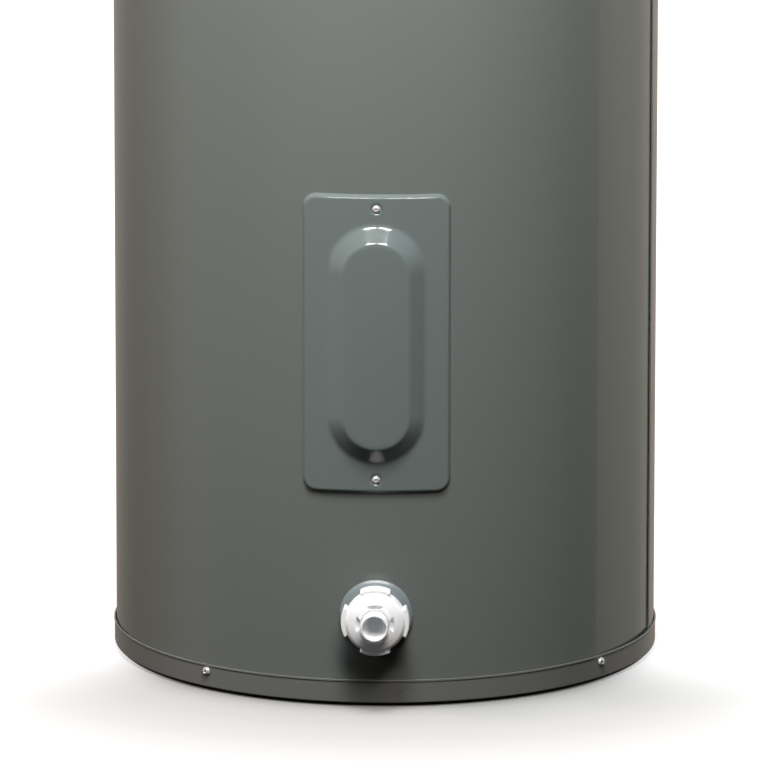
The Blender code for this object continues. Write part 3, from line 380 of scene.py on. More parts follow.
def prism(name, outline, z0, z1, mat, matrix=None, bevel=0.0, segments=3):
    bm = bmesh.new()
    face = bm.faces.new([bm.verts.new((x, y, z0)) for x, y in outline])
    grown = bmesh.ops.extrude_face_region(bm, geom=[face])
    bmesh.ops.translate(bm, vec=(0, 0, z1 - z0), verts=[g for g in grown["geom"] if isinstance(g, bmesh.types.BMVert)])
    bmesh.ops.recalc_face_normals(bm, faces=bm.faces)
    if bevel:
        edges = [e for e in bm.edges if e.calc_face_angle(0) > math.radians(38)]
        bmesh.ops.bevel(bm, geom=edges, offset=bevel, segments=segments, profile=0.5, affect='EDGES', clamp_overlap=True)
    return mesh_object(name, bm, mat, matrix, 35.0)


def circle(radius, steps, x=0.0, y=0.0, phase=0.0):
    return [(x + radius * math.cos(2 * math.pi * k / steps + phase),
             y + radius * math.sin(2 * math.pi * k / steps + phase)) for k in range(steps)]


def rounded_rectangle(half_w, half_h, corner, steps=8):
    points = []
    for cx, cy, start in ((1, 1, 0), (-1, 1, 90), (-1, -1, 180), (1, -1, 270)):
        for k in range(steps + 1):
            a = math.radians(start + 90 * k / steps)
            points.append((cx * (half_w - corner) + corner * math.cos(a), cy * (half_h - corner) + corner * math.sin(a)))
    return points


def boolean(target, operation, others, sharp=32.0):
    """Applies the Booleans and removes the helpers."""
    for other in others:
        mod = target.modifiers.new("b", 'BOOLEAN')
        mod.operation, mod.solver, mod.object = operation, 'EXACT', other
    graph = bpy.context.evaluated_depsgraph_get()
    mesh = bpy.data.meshes.new_from_object(target.evaluated_get(graph))
    target.modifiers.clear()
    old = target.data
    target.data = mesh
    bpy.data.meshes.remove(old)
    for other in others:
        bpy.data.objects.remove(other, do_unlink=True)
    mesh.shade_smooth()
    mesh.set_sharp_from_angle(angle=math.radians(sharp))
    return target


def weighted(obj):
    mod = obj.modifiers.new("normals", 'WEIGHTED_NORMAL')
    mod.keep_sharp = True
    mod.weight = 60
    return obj


def place(obj, body, slot, *nodes):
    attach(obj, body)
    if nodes:
        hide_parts(*nodes)
    return obj


# ------------------------------------------------------------------ jacket

LAP_RISE, LAP_FADE, TUCK = 0.6 * MM, 24.0, 1.2 * MM
TUCK_SHARE = 6.0


def jacket_radius(angle):
    """Radius and its slope per radian. The under-lapping end of the sheet is set in from the crease to the seam."""
    span = math.radians(LAP_ANGLE - CREASE_ANGLE)
    if CREASE_ANGLE <= angle < LAP_ANGLE:
        t = (angle - CREASE_ANGLE) / (LAP_ANGLE - CREASE_ANGLE)
        return JACKET_R - TUCK * (1 - (1 - t) ** TUCK_SHARE), -TUCK * TUCK_SHARE * (1 - t) ** (TUCK_SHARE - 1) / span
    ahead = (angle - LAP_ANGLE) % 360.0
    if ahead < LAP_FADE:
        s = 1 - ahead / LAP_FADE
        return JACKET_R + LAP_RISE * s * s * (3 - 2 * s), -LAP_RISE * 6 * s * (1 - s) / math.radians(LAP_FADE)
    return JACKET_R, 0.0


def jacket():
    Z0, Z1, T = 5.8 * MM, 1472.2 * MM, 0.8 * MM
    angles = []
    a = LAP_ANGLE
    while a < LAP_ANGLE + 360 - 1e-6:
        angles.append(a)
        a += 1.0
    angles = sorted(set([round(x, 4) for x in angles] + [round(CREASE_ANGLE + 360, 4)]))
    angles = [x for x in angles if x < LAP_ANGLE + 359.6]
    tail = [LAP_ANGLE + 359.8]
    bm = bmesh.new()
    # points for a round lip where the lapped edge is folded as a hem; nothing below uses them
    lip = []
    r0 = jacket_radius(LAP_ANGLE)[0]
    for k in range(5):
        t = math.radians(90 * k / 4)
        lip.append((LAP_ANGLE - 0.02 + 0.18 * (1 - math.sin(t)) - 0.0, r0 - 0.5 * MM * (1 - math.sin(t))))
    outer = [(x, jacket_radius(x if x < 360 else x - 360)[0]) for x in angles + tail]
    inner = [(x, min(jacket_radius(x if x < 360 else x - 360)[0], JACKET_R) - T) for x in angles + tail]
    ring = []
    loop = [("o", x, r) for x, r in outer] + [("i", x, r) for x, r in reversed(inner)]
    rows = []
    for z in (Z0, Z1):
        rows.append([bm.verts.new(radial(x, r, z)) for _, x, r in loop])
    n = len(loop)
    for k in range(n):
        m = (k + 1) % n
        bm.faces.new((rows[0][k], rows[0][m], rows[1][m], rows[1][k]))
    m = len(outer)
    for row in rows:
        for k in range(m - 1):
            bm.faces.new((row[k], row[k + 1], row[n - 2 - k], row[n - 1 - k]))
    obj = mesh_object("jacket_skin", bm, "jacket_paint")
    cutters = []
    for z in (LOWER_PANEL_Z, UPPER_PANEL_Z):
        frame_m = outward_frame(0, 0, z)
        cutters.append(prism("c", rounded_rectangle(55 * MM, 126 * MM, 10 * MM), 240 * MM, 290 * MM, None, frame_m))
        for side in (1, -1):
            cutters.append(prism("c", circle(2.2 * MM, 24), 240 * MM, 290 * MM, None, outward_frame(0, 0, z + side * PANEL_SCREW_DZ)))
    cutters.append(prism("c", circle(19 * MM, 64), 240 * MM, 290 * MM, None, outward_frame(0, 0, DRAIN_Z)))
    cutters.append(prism("c", circle(19 * MM, 64), 240 * MM, 290 * MM, None, outward_frame(RELIEF_ANGLE, 0, RELIEF_Z)))
    boolean(obj, 'DIFFERENCE', cutters)
    # exact surface normals on the rolled sheet
    mesh = obj.data
    normals = [(0.0, 0.0, 0.0)] * len(mesh.loops)
    for poly in mesh.polygons:
        c = poly.center
        out = Vector((c.x, c.y, 0)).normalized()
        facing = poly.normal.dot(out)
        if abs(poly.normal.z) > 0.5 or abs(facing) < 0.9:
            for li in poly.loop_indices:
                normals[li] = tuple(poly.normal)
            continue
        centre_angle = math.degrees(math.atan2(c.x, -c.y))
        sign = 1.0 if facing > 0 else -1.0
        for li in poly.loop_indices:
            co = mesh.vertices[mesh.loops[li].vertex_index].co
            ang = math.degrees(math.atan2(co.x, -co.y))
            if CREASE_ANGLE < centre_angle < LAP_ANGLE:
                ang = min(max(ang, CREASE_ANGLE + 1e-4), LAP_ANGLE - 1e-4)
            elif centre_angle < CREASE_ANGLE and centre_angle > 0:
                ang = min(ang, CREASE_ANGLE - 1e-4)
            elif centre_angle > LAP_ANGLE:
                ang = max(ang, LAP_ANGLE + 1e-4) if ang > 0 else ang
            r, slope = jacket_radius(ang)
            er = Vector((math.sin(math.radians(ang)), -math.cos(math.radians(ang)), 0))
            ephi = Vector((math.cos(math.radians(ang)), math.sin(math.radians(ang)), 0))
            nrm = (er * r - ephi * slope).normalized() * sign
            normals[li] = tuple(nrm)
    mesh.normals_split_custom_set(normals)
    return place(obj, "tank", "jacket_paint", "jacket")


jacket()

# ------------------------------------------------------------------ base pan and top cover

RIM_Z = 26.8 * MM
pan = turned("base_pan_pressing", filleted([
    (0.0, 0.0), (PAN_OUT - 4.6 * MM, 0.0), (PAN_OUT, 4.4 * MM), (PAN_OUT, RIM_Z - 2.6 * MM),
    (PAN_OUT + 0.6 * MM, RIM_Z - 1.8 * MM), (PAN_OUT + 0.6 * MM, RIM_Z - 0.15 * MM), (PAN_OUT + 0.3 * MM, RIM_Z), (PAN_IN + 0.1 * MM, RIM_Z),
    (PAN_IN, RIM_Z - 1.0 * MM), (PAN_IN, 5.4 * MM), (PAN_IN - 4.6 * MM, 1.2 * MM), (0.0, 1.2 * MM)],
    [0, 3 * MM, 2 * MM, 1 * MM, 0.6 * MM, 0, 0, 0.2 * MM, 0.3 * MM, 2 * MM, 3 * MM, 0]), "pan_paint", 288, sharp=60)
place(pan, "tank", "pan_paint", "base_pan")

SKIRT_Z = COVER_TOP - 24 * MM
cover = turned("top_cover_pressing", filleted([
    (0.0, COVER_TOP - 1.0 * MM), (0.0, COVER_TOP - 0.0 * MM), (238 * MM, COVER_TOP), (240 * MM, COVER_TOP - 1.5 * MM), (247 * MM, COVER_TOP - 1.5 * MM),
    (249 * MM, COVER_TOP), (PAN_OUT - 6.0 * MM, COVER_TOP),
    (PAN_OUT, COVER_TOP - 6.0 * MM), (PAN_OUT, SKIRT_Z + 2.6 * MM), (PAN_OUT + 0.8 * MM, SKIRT_Z + 1.7 * MM),
    (PAN_OUT + 0.8 * MM, SKIRT_Z + 0.4 * MM), (PAN_OUT + 0.3 * MM, SKIRT_Z), (PAN_IN, SKIRT_Z), (PAN_IN, COVER_TOP - 6.4 * MM), (PAN_IN - 6.0 * MM, COVER_TOP - 1.2 * MM),
    (250 * MM, COVER_TOP - 1.2 * MM), (248 * MM, COVER_TOP - 2.7 * MM), (239 * MM, COVER_TOP - 2.7 * MM), (237 * MM, COVER_TOP - 1.0 * MM)],
    [0, 0, 1.5 * MM, 1.5 * MM, 1.5 * MM, 1.5 * MM, 4 * MM, 4 * MM, 1 * MM, 0.6 * MM, 0.35 * MM, 0.3 * MM, 0.3 * MM, 4 * MM, 4 * MM, 1 * MM, 1 * MM, 1 * MM, 1 * MM]),
    "pan_paint", 288, sharp=60)
cover_cuts = [prism("c", circle(15.5 * MM, 48, x, y), 1.4, 1.6, None) for x, y in ((NIPPLE_X, 0), (-NIPPLE_X, 0))]
cover_cuts.append(prism("c", circle(20 * MM, 48, 0, 92 * MM), 1.4, 1.6, None))
cover_cuts.append(prism("c", [(x, y + BOX_Y) for x, y in rounded_rectangle(40 * MM, 30 * MM, 3 * MM)], 1.4, 1.6, None))
cover_cuts.append(prism("c", circle(2.2 * MM, 24, 0, BOX_Y + 39.5 * MM), 1.4, 1.6, None))
boolean(cover, 'DIFFERENCE', cover_cuts, 60)
place(cover, "tank", "pan_paint", "top_cover")

# ------------------------------------------------------------------ screws


def recessed_screw(name, matrix, body, node, head, rise, reach, mat="zinc_screw", washer=True, shank=1.9 * MM):
    """Pan-head tapping screw with a cross recess, a thread, and its seat at local z = 0."""
    profile = [(0.0, rise), (head * 0.30, rise * 0.985), (head * 0.56, rise * 0.90), (head * 0.78, rise * 0.70), (head * 0.93, rise * 0.40),
               (head, rise * 0.12), (head, 0.0), (shank, 0.0)]
    z = -0.4 * MM
    pitch = 1.3 * MM
    while z > -reach + 3.6 * MM:
        profile += [(shank, z), (shank * 1.0, z - 0.35 * pitch), (shank * 1.28, z - 0.5 * pitch), (shank * 1.0, z - 0.65 * pitch)]
        z -= pitch
    profile += [(shank * 0.9, -reach + 3.0 * MM), (0.0, -reach)]
    obj = turned(name, profile, mat, 40, sharp=40)
    depth, arm, wide = rise * 0.86, head * 0.52, head * 0.155
    cutters = []
    for turn in (0, 90):
        bm = bmesh.new()
        low = [(-arm * 0.42, -wide * 0.7), (arm * 0.42, -wide * 0.7), (arm * 0.42, wide * 0.7), (-arm * 0.42, wide * 0.7)]
        top = [(-arm, -wide), (arm, -wide), (arm, wide), (-arm, wide)]
        a = [bm.verts.new((x, y, rise - depth)) for x, y in low]
        b = [bm.verts.new((x * 1.05, y * 1.02, rise + 0.3 * MM)) for x, y in top]
        bm.faces.new(a[::-1])
        bm.faces.new(b)
        for k in range(4):
            bm.faces.new((a[k], a[(k + 1) % 4], b[(k + 1) % 4], b[k]))
        cutters.append(mesh_object("c", bm, None, Matrix.Rotation(math.radians(turn + 18), 4, 'Z')))
    boolean(obj, 'DIFFERENCE', cutters, 40)
    obj.data.transform(matrix)
    return place(obj, body, mat, node)


for number, angle in enumerate((-38.4, 53.6, 141.6, 233.6), 1):
    recessed_screw(f"pan_screw_{number}", outward_frame(angle, PAN_OUT + 0.3 * MM, 19.8 * MM) @ Matrix.Rotation(math.radians(23 * number), 4, 'Z'),
                   "tank", f"base_screw_{number}", 4.3 * MM, 2.66 * MM, 9 * MM)

# ------------------------------------------------------------------ access panels

PANEL_HALF_W, PANEL_HALF_H, PANEL_CORNER, PANEL_STAND, PANEL_T = 72.0 * MM, 146.8 * MM, 14 * MM, 4 * MM, 0.9 * MM
BOSS_OUT_W, BOSS_OUT_H, BOSS_IN_W, BOSS_IN_H, BOSS_RISE = 49.0 * MM, 119.4 * MM, 29.0 * MM, 100.4 * MM, 11.0 * MM
DIMPLE_R, DIMPLE_DEEP = 6.4 * MM, 1.5 * MM


def soft_ramp(t, foot=0.26, crest=0.12):
    """0…1 ramp with a long rounded foot and a tighter crest."""
    if t <= 0:
        return 0.0
    if t >= 1:
        return 1.0
    slope = 1.0 / (1.0 - foot / 2 - crest / 2)
    if t < foot:
        return slope * t * t / (2 * foot)
    if t > 1 - crest:
        return 1 - slope * (1 - t) ** 2 / (2 * crest)
    return slope * (t - foot / 2)


def boss_height(u, v):
    straight = BOSS_OUT_H - BOSS_OUT_W
    d = math.hypot(u, max(0.0, abs(v) - straight))
    return BOSS_RISE * soft_ramp((BOSS_OUT_W - d) / (BOSS_OUT_W - BOSS_IN_W))


def dimple(u, v):
    d = math.hypot(u, abs(v) - PANEL_SCREW_DZ) / DIMPLE_R
    if d >= 1:
        return 0.0
    return -DIMPLE_DEEP * (1 - soft_ramp(max(0.0, (d - 0.52) / 0.48), 0.35, 0.5))


def rim_height(inset):
    """Rolled edge: how far the face stands off the jacket at this distance in from the outline."""
    t = min(1.0, inset / (4.2 * MM))
    return 0.4 * MM + (PANEL_STAND - 0.4 * MM) * soft_ramp(t, 0.04, 0.42)


def access_panel(name, z, body, node):
    count_side, count_end, count_corner = 110, 72, 14
    cu, cv = PANEL_HALF_W - PANEL_CORNER, PANEL_HALF_H - PANEL_CORNER
    frame_points = []       # an empty list that nothing uses

    def outline(inset):
        w, h, c = PANEL_HALF_W - inset, PANEL_HALF_H - inset, max(PANEL_CORNER - inset, 1e-5)
        pts = []
        for k in range(count_end):
            s = k / count_end
            s = 0.5 + 0.5 * math.copysign(abs(2 * s - 1) ** 1.5, 2 * s - 1)
            pts.append((-cu + 2 * cu * s, -h))
        for k in range(count_corner):
            a = math.radians(-90 + 90 * k / count_corner)
            pts.append((w - c + c * math.cos(a), -h + c + c * math.sin(a)))
        for k in range(count_side):
            pts.append((w, -cv + 2 * cv * k / count_side))
        for k in range(count_corner):
            a = math.radians(90 * k / count_corner)
            pts.append((w - c + c * math.cos(a), h - c + c * math.sin(a)))
        half = len(pts)
        for k in range(count_end):
            s = k / count_end
            s = 0.5 + 0.5 * math.copysign(abs(2 * s - 1) ** 1.5, 2 * s - 1)
            pts.append((cu - 2 * cu * s, h))
        for k in range(count_corner):
            a = math.radians(90 + 90 * k / count_corner)
            pts.append((-w + c + c * math.cos(a), h - c + c * math.sin(a)))
        for k in range(count_side):
            pts.append((-w, cv - 2 * cv * k / count_side))
        for k in range(count_corner):
            a = math.radians(180 + 90 * k / count_corner)
            pts.append((-w + c + c * math.cos(a), -h + c + c * math.sin(a)))
        return pts

    base = outline(4.4 * MM)

    def stadium(half_w, half_h):
        straight = half_h - half_w
        loop = []
        for u, v in base:
            lo, hi = 0.0, 1.0
            for _ in range(30):
                mid = (lo + hi) / 2
                d = math.hypot(u * mid, max(0.0, abs(v * mid) - straight))
                lo, hi = (mid, hi) if d < half_w else (lo, mid)
            loop.append((u * lo, v * lo))
        return loop

    loops = []
    for k in range(9):
        inset = 4.4 * MM * (k / 8) ** 1.3
        loops.append([(u, v, rim_height(inset)) for u, v in outline(inset)])
    foot = stadium(BOSS_OUT_W + 0.4 * MM, BOSS_OUT_H + 0.4 * MM)
    for k in range(1, 27):
        t = k / 26
        loops.append([(a[0] + (b[0] - a[0]) * t, a[1] + (b[1] - a[1]) * t, PANEL_STAND) for a, b in zip(base, foot)])
    for k in range(1, 19):
        t = k / 18
        loops.append([(u, v, PANEL_STAND) for u, v in stadium(BOSS_OUT_W + (BOSS_IN_W - 0.4 * MM - BOSS_OUT_W) * t,
                                                             BOSS_OUT_H + (BOSS_IN_H - 0.4 * MM - BOSS_OUT_H) * t)])
    inner = loops[-1]
    for k in range(1, 9):
        t = k / 9
        straight = BOSS_IN_H - BOSS_IN_W
        loops.append([(u * (1 - t), v + (max(-straight, min(straight, v)) * 0.96 - v) * t, PANEL_STAND) for u, v, _ in inner])

    def at(u, v, stand):
        full = stand + boss_height(u, v) + dimple(u, v)
        p = radial(math.degrees(u / JACKET_R), JACKET_R + full, z + v)
        return p

    bm = bmesh.new()
    skins = []
    for offset in (0.0, -PANEL_T):
        rings = []
        for i, loop in enumerate(loops):
            back = offset
            shrink_u, shrink_v = 1.0, 1.0
            if offset and i < 9:
                share = max(0.0, 1 - i / 8)
                shrink_u, shrink_v = 1 - share * PANEL_T / PANEL_HALF_W, 1 - share * PANEL_T / PANEL_HALF_H
                back = offset * (i / 8) ** 0.5 if i else 0.0
            rings.append([bm.verts.new(at(u * shrink_u, v * shrink_v, s + back)) for u, v, s in loop])
        for a, b in zip(rings, rings[1:]):
            for k in range(len(a)):
                n = (k + 1) % len(a)
                bm.faces.new((a[k], a[n], b[n], b[k]) if offset == 0.0 else (a[n], a[k], b[k], b[n]))
        # the last loop is a thin sliver round the middle line
        last = rings[-1]
        cap = bm.faces.new(last if offset == 0.0 else last[::-1])
        bmesh.ops.triangulate(bm, faces=[cap])
        skins.append(rings[0])
    a, b = skins
    for k in range(len(a)):
        n = (k + 1) % len(a)
        bm.faces.new((a[n], a[k], b[k], b[n]))
    obj = mesh_object(name, bm, "panel_paint", sharp=50, merge=1e-6)
    return place(obj, body, "panel_paint", node)


for tag, z in (("lower", LOWER_PANEL_Z), ("upper", UPPER_PANEL_Z)):
    access_panel(f"{tag}_panel_pressing", z, f"{tag}_panel", f"{tag}_access_panel")
    for number, side in enumerate((1, -1), 1):
        recessed_screw(f"{tag}_panel_fixing_{number}",
                       outward_frame(0, JACKET_R + PANEL_STAND + 0.3 * MM - 1.2 * MM, z + side * PANEL_SCREW_DZ) @ Matrix.Rotation(math.radians(31 * number), 4, 'Z'),
                       f"{tag}_panel", f"{tag}_panel_screw_{number}", 3.9 * MM, 2.3 * MM, 11.8 * MM)


def batt(name, z, body, node):
    """Glass-fibre pad: springy, with rounded edges and a slightly lumpy face."""
    low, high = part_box(node)
    r0, r1, half_a, half_z = 245.6 * MM, 264.2 * MM, math.radians(11.2), 115.4 * MM
    nu, nv = 40, 90
    bm = bmesh.new()
    mid = (r0 + r1) / 2
    sheets = []
    for side in (1, -1):
        rows = []
        for j in range(nv + 1):
            v = -1 + 2 * j / nv
            row = []
            for i in range(nu + 1):
                u = -1 + 2 * i / nu
                edge = max(0.0, 1 - abs(u) ** 7) ** 0.30 * max(0.0, 1 - abs(v) ** 16) ** 0.30
                lump = noise.noise(Vector((u * 2.1, v * 4.6, side * 3.0 + z * 7))) * 1.1 * MM + noise.noise(Vector((u * 7, v * 16, side * 5.0 + z))) * 0.5 * MM
                thick = (r1 - r0) / 2 * edge - (abs(lump) + 0.2 * MM) * edge
                pull = 1.0 - 0.012 * (1 - abs(math.cos(v * 9 + side))) * abs(u) ** 4
                a = math.degrees(half_a * u * pull)
                row.append(bm.verts.new(radial(a, mid + side * thick, z + v * half_z * (1 - 0.006 * abs(math.sin(u * 7))))))
            rows.append(row)
        sheets.append(rows)
    for s, rows in enumerate(sheets):
        for j in range(nv):
            for i in range(nu):
                quad = (rows[j][i], rows[j][i + 1], rows[j + 1][i + 1], rows[j + 1][i])
                bm.faces.new(quad if s == 0 else quad[::-1])
    obj = mesh_object(name, bm, "insulation_pad", sharp=80, merge=2e-5)
    place(obj, body, "insulation_pad", node)


for tag, z in (("lower", LOWER_PANEL_Z), ("upper", UPPER_PANEL_Z)):
    batt(f"{tag}_batt", z, f"{tag}_panel", f"{tag}_insulation_pad")

# ------------------------------------------------------------------ drain valve
# Local z = 0 is the jacket's face, positive outwards.

D = outward_frame(0, JACKET_R, DRAIN_Z)

ring = turned("drain_collar_plate", filleted([
    (14.6 * MM, -4.0 * MM), (35.2 * MM, -4.0 * MM), (35.2 * MM, 1.0 * MM), (32.8 * MM, 2.5 * MM), (23.0 * MM, 6.5 * MM), (16.6 * MM, 7.4 * MM), (14.6 * MM, 7.4 * MM)],
    [0, 0.3 * MM, 0.8 * MM, 2 * MM, 3 * MM, 1 * MM, 0.4 * MM], 5), "grey_plastic", 96, D)
body_clear = mesh_object("c", spun([(0, 0), (JACKET_R + 0.35 * MM, 0), (JACKET_R + 0.35 * MM, 0.3), (0, 0.3)], 360), None)
boolean(ring, 'DIFFERENCE', [body_clear])
place(ring, "tank", "grey_plastic", "drain_escutcheon")

valve = turned("drain_valve_barrel", filleted([
    (7.0 * MM, -70.0 * MM), (13.2 * MM, -70.0 * MM), (13.2 * MM, -50.0 * MM), (13.9 * MM, -48.0 * MM), (13.9 * MM, 14.0 * MM),
    (18.0 * MM, 15.0 * MM), (18.0 * MM, 19.0 * MM), (13.2 * MM, 20.0 * MM), (13.2 * MM, 22.0 * MM), (9.2 * MM, 22.0 * MM),
    (9.2 * MM, -18.0 * MM), (7.0 * MM, -21.0 * MM)], 0.5 * MM, 3), "white_plastic", 80, D)
place(valve, "tank", "white_plastic", "drain_valve_body")

stem = turned("drain_plug_moulding", filleted([
    (0.0, -14.3 * MM), (8.4 * MM, -14.3 * MM), (8.4 * MM, -9.0 * MM), (3.0 * MM, -7.0 * MM), (3.0 * MM, 12.0 * MM), (0.0, 12.0 * MM)],
    [0, 0.4 * MM, 0.6 * MM, 1 * MM, 0.8 * MM, 0], 4), "white_plastic", 48, D)
place(stem, "drain_plug", "white_plastic", "drain_plug")
seal = turned("drain_plug_washer", filleted([(0.0, -17.6 * MM), (8.6 * MM, -17.6 * MM), (8.6 * MM, -14.7 * MM), (0.0, -14.7 * MM)],
                                            [0, 0.9 * MM, 0.6 * MM, 0], 4), "rubber", 48, D)
place(seal, "drain_plug", "rubber", "drain_seal")

spout = turned("drain_spout_moulding", filleted([
    (8.1 * MM, 22.4 * MM), (13.1 * MM, 22.4 * MM), (13.1 * MM, 39.0 * MM), (12.6 * MM, 40.6 * MM), (13.5 * MM, 42.4 * MM),
    (13.5 * MM, 52.2 * MM), (13.1 * MM, 55.0 * MM), (11.4 * MM, 55.0 * MM), (8.1 * MM, 37.0 * MM), (8.1 * MM, 30.0 * MM)],
    [0.2 * MM, 0.3 * MM, 0.8 * MM, 1.0 * MM, 1.2 * MM, 2 * MM, 0.7 * MM, 0.6 * MM, 0.8 * MM, 0.5 * MM], 5), "white_plastic", 96, D, sharp=50)
place(spout, "drain_wheel" if "drain_spout" in frame["record"]["behaviour"]["bodies"]["drain_wheel"] else "tank", "white_plastic", "drain_spout")

wheel = turned("drain_handwheel_moulding", filleted([
    (13.7 * MM, 37.2 * MM), (15.6 * MM, 37.8 * MM), (21.0 * MM, 36.8 * MM), (26.6 * MM, 34.9 * MM), (29.2 * MM, 31.8 * MM), (29.2 * MM, 16.6 * MM),
    (27.0 * MM, 16.6 * MM), (27.0 * MM, 30.6 * MM), (21.8 * MM, 33.0 * MM), (21.8 * MM, 14.6 * MM), (19.4 * MM, 14.6 * MM),
    (19.4 * MM, 31.8 * MM), (13.7 * MM, 32.6 * MM)],
    [0.4 * MM, 1 * MM, 6 * MM, 4 * MM, 3 * MM, 0.5 * MM, 0.5 * MM, 1 * MM, 0.8 * MM, 0.5 * MM, 0.5 * MM, 0.8 * MM, 0.4 * MM], 5), "white_plastic", 120)


def lobe_outline(middle):
    pts = [(27.6 * MM * math.cos(a), 27.6 * MM * math.sin(a)) for a in [math.radians(middle - 25 + 50 * k / 10) for k in range(11)]]
    pts += [(33.0 * MM * math.cos(a), 33.0 * MM * math.sin(a)) for a in [math.radians(middle + 27 - 54 * k / 12) for k in range(13)]]
    return pts


lobes = [prism("c", lobe_outline(middle), 14.6 * MM, 31.4 * MM, "white_plastic", None, 1.1 * MM, 4) for middle in (0, 90, 180, 270)]
boolean(wheel, 'UNION', lobes)
slots = []
for middle in (0, 90, 180, 270):
    pts = [(14.6 * MM * math.cos(a), 14.6 * MM * math.sin(a)) for a in [math.radians(middle - 15 + 30 * k / 6) for k in range(7)]]
    pts += [(18.8 * MM * math.cos(a), 18.8 * MM * math.sin(a)) for a in [math.radians(middle + 24 - 48 * k / 8) for k in range(9)]]
    slots.append(prism("c", pts, 34.6 * MM, 45 * MM, "white_plastic"))
boolean(wheel, 'DIFFERENCE', slots)
wheel.data.transform(D)
weighted(wheel)
place(wheel, "drain_wheel", "white_plastic", "drain_handwheel")

# ------------------------------------------------------------------ water connections


def nipple(name, x, node):
    """Galvanised pipe nipple whose top end is cut with a tapered pipe thread."""
    z0, z1, r, bore = 1418 * MM, NIPPLE_TOP, 13.3 * MM, 10.2 * MM
    pitch, depth, start = 1.81 * MM, 1.15 * MM, z1 - 20 * MM
    steps = 72
    heights = [z0, start - 1.5 * MM]
    z = start - 1.2 * MM
    while z < z1 - 0.2 * MM:
        heights.append(z)
        z += 0.3 * MM
    heights += [z1 - 0.15 * MM]
    bm = bmesh.new()
    rows = []
    for z in heights:
        row = []
        for k in range(steps):
            phase = ((z / pitch) - k / steps) % 1.0
            tooth = abs(2 * phase - 1)
            fade = min(1.0, max(0.0, (z - start) / (3 * pitch)))
            tip = min(1.0, max(0.0, (z1 - z) / (1.2 * MM)))
            rr = r - 0.15 * MM * fade - depth * (1 - tooth * tip) * fade
            row.append(bm.verts.new((x + rr * math.cos(2 * math.pi * k / steps), rr * math.sin(2 * math.pi * k / steps), z)))
        rows.append(row)
    for rr, z in ((11.2 * MM, z1), (10.6 * MM, z1 - 0.1 * MM), (bore, z1 - 0.8 * MM), (bore, z0)):
        rows.append([bm.verts.new((x + rr * math.cos(2 * math.pi * k / steps), rr * math.sin(2 * math.pi * k / steps), z)) for k in range(steps)])
    rows.append(rows[0])
    for a, b in zip(rows, rows[1:]):
        for k in range(steps):
            n = (k + 1) % steps
            bm.faces.new((a[k], a[n], b[n], b[k]))
    return place(mesh_object(name, bm, "plain_steel", sharp=40), "tank", "plain_steel", node)


for tag, x in (("cold", NIPPLE_X), ("hot", -NIPPLE_X)):
    nipple(f"{tag}_pipe_nipple", x, f"{tag}_nipple")
    slot_name = "blue_plastic" if tag == "cold" else "red_plastic"
    g = turned(f"{tag}_marker_ring", filleted([
        (13.7 * MM, COVER_TOP + 0.3 * MM), (25.0 * MM, COVER_TOP + 0.3 * MM), (24.6 * MM, COVER_TOP + 1.9 * MM), (22.4 * MM, COVER_TOP + 3.0 * MM),
        (16.4 * MM, COVER_TOP + 3.9 * MM), (13.7 * MM, COVER_TOP + 3.9 * MM)], [0.2 * MM, 0.3 * MM, 0.6 * MM, 1 * MM, 0.8 * MM, 0.4 * MM], 4),
        slot_name, 96, Matrix.Translation((x, 0, 0)))
    place(g, "tank", slot_name, f"{tag}_nipple_ring")

# ------------------------------------------------------------------ junction box lid

lid = prism("junction_cover_plate", [(x, y + BOX_Y + 5 * MM) for x, y in rounded_rectangle(47 * MM, 42 * MM, 6 * MM, 8)],
            COVER_TOP + 0.3 * MM, COVER_TOP + 2.3 * MM, "pan_paint", None, 0.7 * MM, 3)
boolean(lid, 'DIFFERENCE', [prism("c", circle(2.2 * MM, 24, 0, BOX_Y + 39.5 * MM), 1.4, 1.6, None),
                            prism("c", circle(11.0 * MM, 64, 0, BOX_Y - 6 * MM), 1.4, 1.6, None)])
place(lid, "junction_lid", "pan_paint", "junction_cover")
recessed_screw("junction_lid_fixing", Matrix.Translation((0, BOX_Y + 39.5 * MM, COVER_TOP + 2.6 * MM)), "junction_lid", "junction_cover_screw",
               3.9 * MM, 2.3 * MM, 7.5 * MM)
recessed_screw("bonding_screw", Matrix.Translation((26 * MM, BOX_Y + 10 * MM, 1425.7 * MM)), "tank", "ground_screw",
               4.6 * MM, 2.8 * MM, 8 * MM, mat="green_screw")

# ------------------------------------------------------------------ relief valve

R0 = outward_frame(RELIEF_ANGLE, 0, RELIEF_Z)
relief = turned("relief_valve_casting", filleted([
    (8.4 * MM, 196 * MM), (13.3 * MM, 196 * MM), (13.3 * MM, 270 * MM), (19.0 * MM, 274 * MM), (20.5 * MM, 281 * MM), (20.5 * MM, 304 * MM),
    (16.4 * MM, 310 * MM), (15.6 * MM, 338 * MM), (13.0 * MM, 344 * MM), (4.2 * MM, 344 * MM), (4.2 * MM, 310 * MM), (8.4 * MM, 308 * MM)],
    [0.3 * MM, 1 * MM, 1.5 * MM, 3 * MM, 3 * MM, 3 * MM, 3 * MM, 1.5 * MM, 2 * MM, 0.5 * MM, 0, 0], 4), "brass", 80, R0)
down = Matrix.Translation(radial(RELIEF_ANGLE, 293 * MM, RELIEF_Z)) @ Matrix.Rotation(math.radians(180), 4, 'X')
branch = turned("c", filleted([(0, 0), (16.5 * MM, 0), (16.5 * MM, 27 * MM), (15.9 * MM, 28.5 * MM), (15.9 * MM, 42.5 * MM), (15.0 * MM, 44 * MM), (0, 44 * MM)],
                              [0, 0, 0.5 * MM, 0.5 * MM, 0.5 * MM, 0.4 * MM, 0], 3), "brass", 80, down)
hexed = prism("c", circle(20.4 * MM, 6, 0, 0, math.radians(30)), 312 * MM, 325 * MM, "brass", R0, 0.8 * MM, 3)
